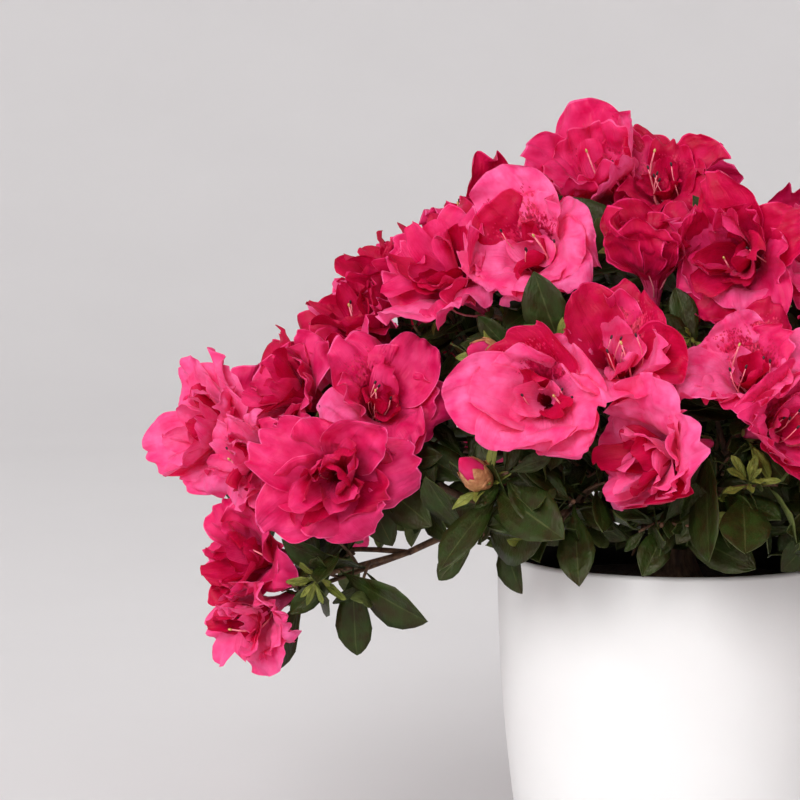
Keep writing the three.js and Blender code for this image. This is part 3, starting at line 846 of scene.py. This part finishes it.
def add_flecks(shapes, place, points, draw, count):
    """Crimson flecks on a petal's inner face, which crowd together down its middle."""
    rows, width, _ = points.shape
    corners = []
    for _ in range(count):
        up = draw() ** 2.2
        row = (0.34 + 0.4 * up) * (rows - 1)
        column = (0.5 + (0.2 + 0.22 * up) * (draw() + draw() - 1)) * (width - 1)
        i, j = int(row), int(column)
        p = points[i, j] + (points[i + 1, j] - points[i, j]) * (row - i)
        p = p + (points[i, j + 1] - points[i, j]) * (column - j)
        down = unit(points[i + 1, j] - points[i, j])
        aside = unit(points[i, j + 1] - points[i, j])
        out = unit(np.cross(down, aside))
        out = out if out[2] > 0 else -out
        long = (0.65 + 0.9 * draw()) * (1.35 - up)
        wide = (0.26 + 0.24 * draw()) * (1.5 - 0.7 * up)
        p = p + out * 0.16
        corners += [p + down * long, p + aside * wide, p - down * long, p - aside * wide]
    shapes.add(place(np.array(corners)), np.arange(4 * count).reshape(-1, 4), FLECK)


KINDS = {
    # flare and tip of the outer petals and of the inner ones, petals at the heart, stamens
    "open": Part(outer=(64, 74), inner=(44, 50), heart=4, stamens=5, heart_length=15),
    "double": Part(outer=(68, 84), inner=(46, 58), heart=13, stamens=1, heart_length=24),
    "cup": Part(outer=(42, 40), inner=(28, 22), heart=4, stamens=3, heart_length=18),
    "tulip": Part(outer=(26, 4), inner=(18, 0), heart=4, stamens=2, heart_length=18),
}


def add_petals(shapes, place, flower, draw, flare, tip, scale, lean, *foot):
    """Five lobes of one corolla. Returns their points, the uppermost lobe's first."""
    size = flower.size
    made = []
    for i, (reach, lift) in enumerate(flower.lobes):
        around = flower.turn + tau * i / 5 + lean + 0.3 * (draw() - 0.5)
        loose = 2 * (draw() - 0.5)
        curl = (draw() - 0.45) * 70 + (60 if draw() < 0.18 else 0)
        shape = Petal(
            throat=0.38, length=PETAL_LENGTH * size * scale * reach,
            width=PETAL_WIDTH * size * scale**0.5 * (0.85 + 0.35 * draw()),
            foot=8, open=27, flare=flare + 12 * loose, tip=tip + curl, share=5,
            start=(1.6, -BLOOM_TUBE + (2 if scale == 1 else 4)), widest=0.42 + 0.22 * draw(),
            cupped=0.1 * (draw() - 0.45) / size, ruffle=1.5 + 1.6 * draw(),
            waves=4.5 + 4.5 * draw(), crumple=2.0, crease=0.6 * (draw() - 0.45),
            rolls=(9 * (draw() - 0.5), 9 * (draw() - 0.5)), twist=1.1 * (draw() - 0.5),
            pleats=1.5 + 2.2 * draw(), pleat=0.4 + 1.1 * draw(),
            sweep=0.6 * (draw() - 0.5), around=around, lift=0.8 * lift,
        )
        # Most petals take the bloom's painted light, the others a lit, half-lit or shaded copy at
        # random.
        tint = flower.tint if draw() < 0.7 else int(3 * draw())
        points = add_petal(shapes, place, PETAL_GRID, shape, draw, tint, *foot)
        made.append((-sin(around), i, points))
    return [points for _, _, points in sorted(made)]


def add_bloom(shapes, flower, draw):
    kind, size = KINDS[flower.kind], flower.size
    turn_bloom = placing(flower.facing, flower.centre)

    def place(points):
        return pressed(flower, turn_bloom(points))

    outer = add_petals(shapes, place, flower, draw, *kind.outer, 1, 0, TUBE, 0.4)
    # The feet of the inner petals are painted a dark crimson: painted shade deep in the throat.
    inner = add_petals(shapes, place, flower, draw, *kind.inner, INNER, pi / 5, THROAT_SHADE, 0.42)
    if flower.kind != "double":
        for points, count in zip((inner[0], inner[1], outer[0]), FLECKS):
            add_flecks(shapes, place, points, draw, count)
    for i in range(kind.heart):
        share = i / kind.heart
        shape = Petal(
            throat=0.2, length=kind.heart_length * size * (0.75 + 0.5 * draw()),
            width=(9 + 6 * draw()) * size, foot=5, open=20 + 20 * draw(),
            flare=15 + 45 * share * draw(), tip=-50 + 130 * draw(), share=2.5,
            start=(1.5 + 3.5 * share, -12 + 3 * share), widest=0.6,
            cupped=0.06 + 0.1 * draw(), ruffle=0.8 + 0.9 * draw(), waves=3 + 3 * draw(),
            crumple=0.6, crease=0.6 * (draw() - 0.5),
            rolls=(4 * (draw() - 0.5), 4 * (draw() - 0.5)), twist=2.4 * (draw() - 0.5),
            pleats=2, pleat=0.5, sweep=1.0 * (draw() - 0.5), around=i * GOLDEN + draw(),
        )
        # Many heart petals are painted in the shaded copy, and all have their feet in the throat's
        # painted shade.
        tint = flower.tint if draw() < 0.6 else SHADED
        add_petal(shapes, place, SMALL_GRID, shape, draw, tint, THROAT_SHADE, 0.15)
    add_stamens(shapes, place, draw, kind.stamens, size)
    add_sepals(shapes, place, draw)


def placing(facing, centre):
    """What turns a shape's own z axis to face one way, and sets it in its place."""
    basis = np.array([*across(facing), facing])

    def place(points):
        return np.asarray(points).reshape(-1, 3) @ basis + centre

    return place


def pressed(flower, points):
    """Points of a bloom held back softly where its neighbours' blooms press against it."""
    for wall in flower.walls:
        distance = (points - FORK) @ wall + PRESS_OVER
        close = distance < PRESS_SOFT
        if close.any():
            held = PRESS_SOFT * np.exp((distance[close] - PRESS_SOFT) / PRESS_SOFT)
            points[close] += (held - distance[close])[:, None] * wall
    return points


def add_stamens(shapes, place, draw, count, size):
    """Filaments that lean to the lower side and turn up again, with dark anthers, and one style."""
    for i in range(count + 1):
        is_style = i == count
        spread = -pi / 2 + 3.0 * (draw() - 0.5)
        reach = (2.5 + 7 * draw()) * size
        tall = (20 + 11 * draw() + (4 if is_style else 0)) * size
        t = np.linspace(0, 1, 8)
        out = reach * np.sin(t * pi * 0.62) / sin(pi * 0.62)
        sway, phase = 1.5 + 1.5 * draw(), 6 * draw()
        x = out * cos(spread) + sway * np.sin(5 * t + phase) * t
        line = columns(x, out * sin(spread) + 5 * t**3, -24 * size + tall * t)
        radius = 0.32 if is_style else 0.2
        points, faces = limb_surface(line, np.linspace(radius * 1.4, radius, 8), 5)
        shapes.add(place(points), faces, FILAMENT)
        axis = unit(line[-1] - line[-2])
        knob = [line[-1] + axis * step for step in (-0.3, 0, 0.5, 1.1, 1.4)]
        points, faces = limb_surface(knob, [0.2, 0.4, 0.5, 0.4, 0.15], 6)
        shapes.add(place(points), faces, STYLE if is_style else ANTHER)


def add_sepals(shapes, place, draw):
    """The small green calyx at the foot of the tube."""
    for i in range(5):
        shape = Petal(
            throat=0.1, length=6 + 2 * draw(), width=3, foot=60, open=35, flare=18, tip=30,
            share=4, start=(0.6, -BLOOM_TUBE + 1), widest=0.3, cupped=0.2, ruffle=0.1, waves=3,
            crumple=0.1, around=i * tau / 5 + draw(),
        )
        points, v, _, _ = petal_grid(SEPAL_GRID, shape, draw)
        shapes.add(place(points), grid_faces(*v.shape), SEPAL)


# ---- Leaves, buds and twigs ----

LEAF_TOP, LEAF_UNDER, LEAF_RIB, LEAF_YOUNG = range(4)
LEAF_ROWS = np.array([0, 0.08, 0.19, 0.34, 0.5, 0.66, 0.8, 0.9, 0.965, 1.0])
LEAF_COLUMNS = np.array([-1, -0.55, -0.035, 0.035, 0.55, 1])
LEAF_STALK = 0.07


def add_leaf_mesh(shapes, leaf, draw):
    """A thin closed leaf: an oval on a short stalk, folded a little along its rib and arched."""
    length, young, direction, face = leaf.length, leaf.young, leaf.direction, leaf.face
    side = np.cross(face, direction)
    half = (0.28 if young else 1.02 * LEAF_WIDTH) * (0.88 + 0.26 * draw()) * length / 2
    widest, blunt = 1.1 + 0.55 * draw(), 0.62 + 0.33 * draw()
    arch = 0.22 * draw() - 0.02
    fold = 0.1 + 0.3 * draw()
    sway = 0.12 * (draw() - 0.5)
    phase = draw()

    def sheet(shares, thick, thin):
        v, u = np.meshgrid(LEAF_ROWS, shares, indexing="ij")
        blade = np.clip((v - LEAF_STALK) / (1 - LEAF_STALK), 0, 1)
        outline = np.maximum(np.sin(pi * blade**widest).clip(0) ** blunt, 0.06 * (1 - 0.6 * v))
        aside = u * outline * half
        waver = 0.4 * np.sin(tau * (2.1 * v + phase)) * np.abs(u) * u
        height = fold * np.abs(aside) + waver - arch * length * v**2
        height = height - (thick + (thin - thick) * np.abs(u))
        aside = aside + sway * length * v**2
        points = leaf.base + direction * (v * length)[..., None]
        points = points + side * aside[..., None] + face * height[..., None]
        return points.reshape(-1, 3), columns(u.ravel(), v.ravel())

    top, top_uv = sheet(LEAF_COLUMNS, 0, 0)
    under, under_uv = sheet(np.array([-1, 0, 1]), 0.5, 0.2)
    rows, width, count = len(LEAF_ROWS), len(LEAF_COLUMNS), len(top)
    over_faces = grid_faces(rows, width)[:, [0, 3, 2, 1]]
    under_faces = grid_faces(rows, 3) + count
    i = np.arange(rows - 1)
    left, low_left = i * width, i * 3 + count
    right, low_right = left + width - 1, low_left + 2
    right_edge = columns(right, right + width, low_right + 3, low_right)
    left_edge = columns(left + width, left, low_left, low_left + 3)
    is_rib = np.arange(len(over_faces)) % (width - 1) == 2
    faces = np.concatenate([over_faces, under_faces, right_edge, left_edge])
    slots = np.full(len(faces), LEAF_UNDER)
    slots[: len(over_faces)] = np.where(is_rib, LEAF_RIB, LEAF_YOUNG if young else LEAF_TOP)
    shapes.add(np.concatenate([top, under]), faces, slots, np.concatenate([top_uv, under_uv]))


def bud_radius(share):
    """The radius of a bud's heart at a share of its length: a plump drop with a fine tip."""
    return 0.93 * BUD_RADIUS * np.sin(pi * share**0.8) ** 0.85


def add_bud(shapes, bud, draw):
    """A plump bud: a pink tip that stands out of overlapping orange-brown scales."""
    place = placing(bud.facing, bud.base)
    heights = np.linspace(0.02, 0.98, 10)
    points, faces = limb_surface(columns(0, 0, BUD_LENGTH * heights), bud_radius(heights), 12)
    # The bud's heart takes the half-lit copy of the petal pink.
    shapes.add(place(points), faces, HALF_LIT)
    v, u = np.meshgrid(np.linspace(0.01, 1, 9), np.linspace(-1, 1, 9), indexing="ij")
    for i in range(12):
        ring = i // 4  # 0 is the lowest and outermost
        height = (0.4 + 0.17 * ring + 0.1 * draw()) * v
        half = (1.0 - 0.1 * ring) * (1 - v**2.6) ** 0.65
        off = (0.7 - 0.22 * ring) * (1 - 0.6 * u**2) + 0.7 * draw() * v**6
        angle = bud.turn + i * pi / 2 + 0.8 * ring + u * half
        radius = bud_radius(height) + off
        points = columns(radius * np.cos(angle), radius * np.sin(angle), BUD_LENGTH * height)
        shapes.add(place(points), grid_faces(9, 9), SCALE)


def twig_line(start, end, draw, steps, sag):
    """A gently crooked line between two points."""
    t = np.linspace(0, 1, steps + 1)
    line = start + (end - start) * t[:, None]
    length = norm(end - start)
    level, upright = across(unit(end - start))
    bow = np.sin(pi * t) * length
    line = line + np.outer(bow * sag * (draw() - 0.5), level)
    return line + np.outer(bow * sag * (draw() - 0.3), upright)


# ---- Materials ----

def material(name, dark, light, tone, rough, relief, half=0.2, glow=None, constants=None):
    """A material whose colour, roughness and relief follow noise.

    tone is the noise under the colour, which goes from dark to light where the noise is within
    half of its middle value. rough is (noise, low, high), and relief is rows of (noise, strength,
    depth), each lying on the last. A noise is (scale, detail, stretch, map), over the piece's
    own coordinates if it names no map. glow is the colour of the light that comes through.
    """
    made = bpy.data.materials.new(name)
    made.use_nodes = True
    nodes, links = made.node_tree.nodes, made.node_tree.links
    shader = nodes["Principled BSDF"]
    known = {}

    def feed(node, **inputs):
        """Joins a node's inputs to outputs of other nodes, or sets them to values."""
        for key, value in inputs.items():
            socket = node.inputs[key.replace("_", " ")]
            if isinstance(value, bpy.types.NodeSocket):
                links.new(value, socket)
            else:
                socket.default_value = value

    def add(kind, output, **inputs):
        node = nodes.new("ShaderNode" + kind)
        feed(node, **inputs)
        return node.outputs[output]

    def noise(scale, detail, stretch=None, over=None):
        key = scale, detail, stretch, over
        if key not in known:
            source = add("UVMap", "UV") if over else add("TexCoord", "Object")
            if over:
                source.node.uv_map = over
            if stretch:
                source = add("Mapping", "Vector", Vector=source, Scale=stretch)
            known[key] = add("TexNoise", "Fac", Vector=source, Scale=scale, Detail=detail)
        return known[key]

    colour = add("ValToRGB", "Color", Fac=noise(*tone))
    stops = (0.5 - half, dark), (0.5 + half, light)
    for element, (position, shade) in zip(colour.node.color_ramp.elements, stops):
        element.position, element.color = position, (*shade, 1)
    source, low, high = rough
    roughness = add("MapRange", "Result", Value=noise(*source), To_Min=low, To_Max=high)
    feed(shader, Base_Color=colour, Roughness=roughness, **(constants or {}))
    under = {}
    for source, strength, depth in relief:
        height = noise(*source)
        normal = add("Bump", "Normal", Strength=strength, Distance=depth, Height=height, **under)
        under = {"Normal": normal}
    feed(shader, **under)
    if glow:
        through = add("BsdfTranslucent", "BSDF", Color=(*glow, 1))
        mixed = add("MixShader", "Shader", Fac=0.3)
        links.new(shader.outputs["BSDF"], mixed.node.inputs[1])
        links.new(through, mixed.node.inputs[2])
        feed(nodes["Material Output"], Surface=mixed)
    return made


def petal_material(name, dark, light, glow, roughness, sheen):
    """Soft, thin tissue: mottled and veined, with light that comes through from behind."""
    mottle, veins, creases = (160, 4), (9, 3, (1, 0.14, 1), ON_MAP), (200, 3)
    return material(
        name, dark, light, mottle, (mottle, roughness - 0.1, roughness + 0.1),
        [(veins, 0.5, 0.0012), (creases, 0.3, 0.0014)], glow=glow,
        constants=dict(
            Specular_IOR_Level=0.2, Sheen_Weight=sheen, Sheen_Roughness=0.35,
            Sheen_Tint=(1.0, 0.5, 0.75, 1),
        ),
    )


def plain_tissue(name, dark, light, roughness, scale=600, grain=0.0003):
    """Firm tissue: colour that varies a little, with a fine grain."""
    mottle = (scale, 4)
    rough = (mottle, roughness - 0.08, roughness + 0.12)
    return material(name, dark, light, mottle, rough, [((2.5 * scale, 3), 0.4, grain)])


def leaf_material(name, dark, light, roughness):
    """Firm green tissue with brownish clouds, fine hairs that catch the light, and side veins."""
    hairs, veins = (1100, 3, (1, 1, 0.4)), (7, 1, (0.35, 1, 1), ON_MAP)
    return material(
        name, dark, light, (170, 4), (hairs, roughness - 0.12, roughness + 0.2),
        [(veins, 0.5, 0.0012), (hairs, 0.55, 0.0005)], half=0.16,
        constants=dict(Specular_IOR_Level=0.28, Specular_Tint=(1, 0.93, 0.75, 1)),
    )


def bark_material(name, dark, light):
    streaks = (500, 6, (1, 1, 0.25))
    rough, relief = (streaks, 0.65, 0.95), [(streaks, 0.8, 0.0012)]
    return material(name, dark, light, streaks, rough, relief, half=0.18)


# Lit, half-lit and shaded copies of one pink, which paint light and shade onto the petals, with more
# sheen on the lit ones.
blossom_materials = [
    petal_material(*look) for look in (
        ("petal_lit", (0.86, 0.036, 0.205), (0.96, 0.165, 0.42), (1.0, 0.01, 0.15), 0.5, 0.24),
        ("petal_half_lit", (0.69, 0.004, 0.1), (0.88, 0.045, 0.215), (0.8, 0.002, 0.075), 0.5, 0.13),
        ("petal_shaded", (0.46, 0.0005, 0.03), (0.66, 0.005, 0.085), (0.56, 0.001, 0.035), 0.48, 0.03),
        # The edge copy is lighter than the lit one: a painted highlight.
        ("petal_edge_highlight", (0.87, 0.07, 0.25), (0.96, 0.18, 0.43), (1.0, 0.02, 0.16), 0.5, 0.24),
        # The throat's darker crimson is painted shade deep in the funnel.
        ("petal_throat_shade", (0.4, 0.0003, 0.025), (0.58, 0.003, 0.05), (0.45, 0.0, 0.022), 0.5, 0.03),
        ("petal_tube", (0.66, 0.02, 0.12), (0.82, 0.09, 0.24), (0.75, 0.01, 0.08), 0.5, 0.05),
    )
] + [
    plain_tissue(*look) for look in (
        ("petal_fleck", (0.5, 0.0, 0.04), (0.7, 0.004, 0.1), 0.6),
        ("filament", (0.72, 0.12, 0.2), (0.85, 0.28, 0.3), 0.45),
        ("anther", (0.012, 0.004, 0.006), (0.05, 0.015, 0.02), 0.6),
        ("style", (0.45, 0.3, 0.08), (0.62, 0.45, 0.16), 0.45),
        ("sepal", (0.09, 0.1, 0.02), (0.2, 0.17, 0.05), 0.55),
        ("bud_scale", (0.36, 0.11, 0.04), (0.62, 0.3, 0.14), 0.4),
    )
]
leaf_materials = [
    leaf_material("leaf_top", (0.017, 0.013, 0.002), (0.016, 0.033, 0.004), 0.42),
    leaf_material("leaf_under", (0.05, 0.065, 0.015), (0.08, 0.1, 0.027), 0.55),
    leaf_material("leaf_rib", (0.028, 0.034, 0.008), (0.05, 0.062, 0.016), 0.45),
    leaf_material("leaf_young", (0.1, 0.12, 0.018), (0.2, 0.21, 0.04), 0.45),
]
bark = bark_material("bark", (0.055, 0.028, 0.016), (0.17, 0.1, 0.06))
twig_bark = bark_material("twig_bark", (0.06, 0.028, 0.015), (0.17, 0.085, 0.045))
glaze = material(
    "pot_glaze", (0.74, 0.732, 0.727), (0.765, 0.758, 0.753), (14, 3), ((60, 4), 0.36, 0.46),
    [((900, 2), 0.08, 0.0003), ((45, 2), 0.12, 0.0008)], half=0.15,
    constants=dict(Specular_IOR_Level=0.4),
)
# A plain dark colour for the ring just inside the pot's wall.
dark_inner = plain_tissue("dark_inner_surface", (0.01, 0.008, 0.007), (0.02, 0.016, 0.013), 0.6, 90, 0.0004)
crumbs, paper = (420, 6), (6, 3)
peat = material(
    "peat", (0.012, 0.007, 0.005), (0.05, 0.03, 0.02), crumbs, (crumbs, 0.8, 1.0),
    [(crumbs, 0.9, 0.002)],
)
studio_paper = material(
    "studio_paper", (0.7, 0.686, 0.692), (0.715, 0.701, 0.707), paper, (paper, 0.85, 0.95),
    [((700, 3), 0.05, 0.0005)],
)

# ---- The pieces ----


def finish_piece(piece, slot, *nodes):
    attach(piece, "root")
    if nodes:
        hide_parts(*nodes)


def add_twig(shapes, line, base, tip, sides):
    shapes.add(*limb_surface(line, np.linspace(base, tip, len(line)), sides), 0)


def make_section(section, masses):
    """The blossom, leaves and twigs of one side of the crown."""
    blossom, leaves, twigs = Shapes(), Shapes(), Shapes()
    for mass in masses:
        draw = seeded(SEED + DETAIL_STEP * (mass.index + 1))
        for flower in mass.flowers:
            add_bloom(blossom, flower, draw)
        for bud in mass.buds:
            add_bud(blossom, bud, draw)
        for leaf in mass.leaves:
            add_leaf_mesh(leaves, leaf, draw)
        add_twig(twigs, bezier(mass.stem, np.linspace(0, 1, 13)), STEM_BASE, STEM_TIP, 8)
        for ends in mass.twigs:
            add_twig(twigs, twig_line(*ends, draw, 7, 0.12), TWIG_BASE, TWIG_TIP, 6)
        for ends in mass.fine:
            add_twig(twigs, twig_line(*ends, draw, 4, 0.15), FINE_BASE, FINE_TIP, 5)
    flowering = [mass.name for mass in masses if mass.flowers]
    leafy = [mass.name for mass in masses if not mass.flowers]
    finish_piece(blossom.make(f"{section}_blossom", blossom_materials), "blossom", *flowering)
    finish_piece(leaves.make(f"{section}_leaves", leaf_materials), "leaf", *leafy)
    finish_piece(twigs.make(f"{section}_twigs", [twig_bark]), "bark")


for section, masses in SECTIONS.items():
    make_section(section, masses)


def pot_radius(z):
    down = 1 - z / POT_HEIGHT
    return RIM - (RIM - FOOT) * down + BELLY * np.sin(pi * down)


def lathe(profile, segments):
    """A solid of revolution from rows of (radius, height) that start and end on the axis."""
    shapes = Shapes()
    (_, low), *inner, (_, high) = profile
    shapes.add(*closed_rings(revolve(inner, segments), (0, 0, low), (0, 0, high)), 0)
    return shapes


def arc(centre, radius, start, end, steps):
    angle = np.radians(np.linspace(start, end, steps))
    return columns(centre[0] + radius * np.cos(angle), centre[1] + radius * np.sin(angle))


def make_pot():
    lip, foot, thick, slope = WALL / 2, 2.5, 6, 3
    outside = np.linspace(foot, POT_HEIGHT - lip, 26)
    inside = np.linspace(POT_HEIGHT - lip, thick + slope, 20)
    profile = np.concatenate([
        [[0, 0], [0.5 * FOOT, 0]],
        arc((pot_radius(0) - foot, foot), foot, -90, 0, 6),
        columns(pot_radius(outside), outside)[1:],
        arc((RIM - lip, POT_HEIGHT - lip), lip, 15, 165, 9),
        columns(pot_radius(inside) - WALL, inside),
        [[pot_radius(thick) - WALL - slope, thick], [0.5 * FOOT, thick], [0, thick]],
    ])
    finish_piece(lathe(profile, 160).make("pot_shell", [glaze]), "pot", "pot")


def make_dark_inner_ring():
    """A thin dark ring that stands just inside the white pot's wall, from under its rim down into
    the peat, so that the inside of the pot shows dark below the rim.
    """
    top, low, thick, gap, rounding = POT_HEIGHT - 2.2, SOIL_TOP - 4, 0.9, 0.5, 0.2
    outer, lower = pot_radius(top) - WALL - gap, pot_radius(low) - WALL - gap
    profile = [
        (lower, low), (outer, top - 2 * rounding), (outer - rounding, top),
        (outer - thick + rounding, top), (outer - thick, top - 2 * rounding), (lower - thick, low),
        (lower, low),
    ]
    shapes = Shapes()
    shapes.add(revolve(profile, 120), grid_faces(len(profile), 120, closed=True), 0)
    finish_piece(shapes.make("dark_inner_ring", [dark_inner]), "peat")


def make_soil():
    """Peat with an uneven, crumbly surface."""
    draw = seeded(SEED + SOIL_STEP)
    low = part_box("soil")[0].z / MM
    edge = pot_radius(SOIL_TOP) - WALL - 0.5
    level = SOIL_TOP - 1.2
    top = columns(np.linspace(edge, TWIG_BASE, 60), level)
    under = [[0, low], [pot_radius(low) - WALL - 4, low]]
    shapes = lathe(np.concatenate([under, top, [[0, level]]]), 120)
    points = shapes.points[0]
    upper = points[:, 2] > SOIL_TOP - 3
    x, y = points[upper, :2].T
    inwards = np.clip((edge - np.hypot(x, y)) / 6, 0, 1)
    lumps = waves(draw, x, y, 9, 5, 16) + 0.8 * waves(draw, x, y, 9, 3, 7)
    points[upper, 2] += 1.2 * lumps * inwards + 0.4 * inwards
    finish_piece(shapes.make("peat_surface", [peat]), "peat", "soil")


def add_limb(shapes, line, radii, sides, draw, depth):
    """A limb with the relief of its bark: long ridges and knots."""
    angle = angles(sides)
    height = 0.9 * np.arange(len(line))[:, None]
    ridges = np.sin(5 * angle + 0.35 * height + 6 * draw())
    ridges = ridges + np.sin(9 * angle - 0.22 * height + 6 * draw())
    knots = np.sin(0.9 * height + 6 * draw()) * np.sin(2 * angle + 6 * draw())
    scale = 1 + depth * (0.5 * ridges + 0.7 * knots)
    shapes.add(*limb_surface(line, radii[:, None] * scale, sides), 0)


def make_limbs():
    """The trunk and the boughs, with the relief of their bark."""
    shapes = Shapes()
    draw = seeded(SEED + LIMB_STEP)
    heights = np.linspace(SOIL_TOP - 1.5, FORK[2] + KNUCKLE - 1, 30)
    share = (heights - SOIL_TOP) / (FORK[2] - SOIL_TOP)
    flare = [15, 11.6, 8.2, 8.2, 10.4, 7.6, 3]
    radii = np.interp(share, [0, 0.16, 0.42, 0.74, 1, 1.28, 1.38], flare)
    add_limb(shapes, columns(0, 0, heights), radii, 40, draw, 0.05)
    for curve in bough_curves:
        line = bezier(curve, np.linspace(-0.06, 1, 34))
        add_limb(shapes, line, np.linspace(BOUGH_BASE, BOUGH_TIP, 34), 14, draw, 0.07)
    piece = shapes.make("trunk_and_boughs", [bark])
    finish_piece(piece, "bark", "trunk", *(name for name, _, _ in BOUGHS))


make_pot()
make_dark_inner_ring()
make_soil()
make_limbs()

# ---- The studio ----

STAGE_FLAT, STAGE_BEND, STAGE_HEIGHT = 1600, 2000, 3400
AIR, AIR_STRENGTH = (1, 0.98, 0.97, 1), 0.675
CAMERA_PLACE, CAMERA_DOWN, LENS = (-0.1084, -1.1375, 0.3088), 6, 130.8


def make_stage():
    """A pale floor that sweeps up into a wall all round."""
    flat = columns(np.linspace(1, STAGE_FLAT, 12), 0)
    bend = arc((STAGE_FLAT, STAGE_BEND), STAGE_BEND, -90, 0, 24)
    profile = np.concatenate([flat, bend[1:], [[STAGE_FLAT + STAGE_BEND, STAGE_HEIGHT]]])
    shapes = Shapes()
    shapes.add(revolve(profile, 96), grid_faces(len(profile), 96, closed=True), 0)
    shapes.make("studio_floor", [studio_paper])


def put(name, data, place, turn):
    made = bpy.data.objects.new(name, data)
    made.location, made.rotation_euler = place, turn
    bpy.context.scene.collection.objects.link(made)
    return made


def add_light(name, place, target, size, power):
    light = bpy.data.lights.new(name, "AREA")
    light.shape, light.size, light.energy = "SQUARE", size, power
    put(name, light, place, (Vector(target) - Vector(place)).to_track_quat("-Z", "Y").to_euler())


def make_studio():
    make_stage()
    add_light("key", (-1.5, -2.85, 1.5), (0, 0, 0.15), 2.4, 166)
    add_light("fill", (1.9, -1.2, 1.2), (0, 0, 0.2), 1.8, 6)
    scene = bpy.context.scene
    scene.world = bpy.data.worlds.new("studio_air")
    scene.world.use_nodes = True
    air = scene.world.node_tree.nodes["Background"].inputs
    air["Color"].default_value, air["Strength"].default_value = AIR, AIR_STRENGTH
    camera = bpy.data.cameras.new("camera")
    camera.lens, camera.sensor_width, camera.clip_end = LENS, 36, 30
    scene.camera = put("camera", camera, CAMERA_PLACE, (radians(90 - CAMERA_DOWN), 0, 0))
    scene.view_settings.view_transform = "Standard"


make_studio()
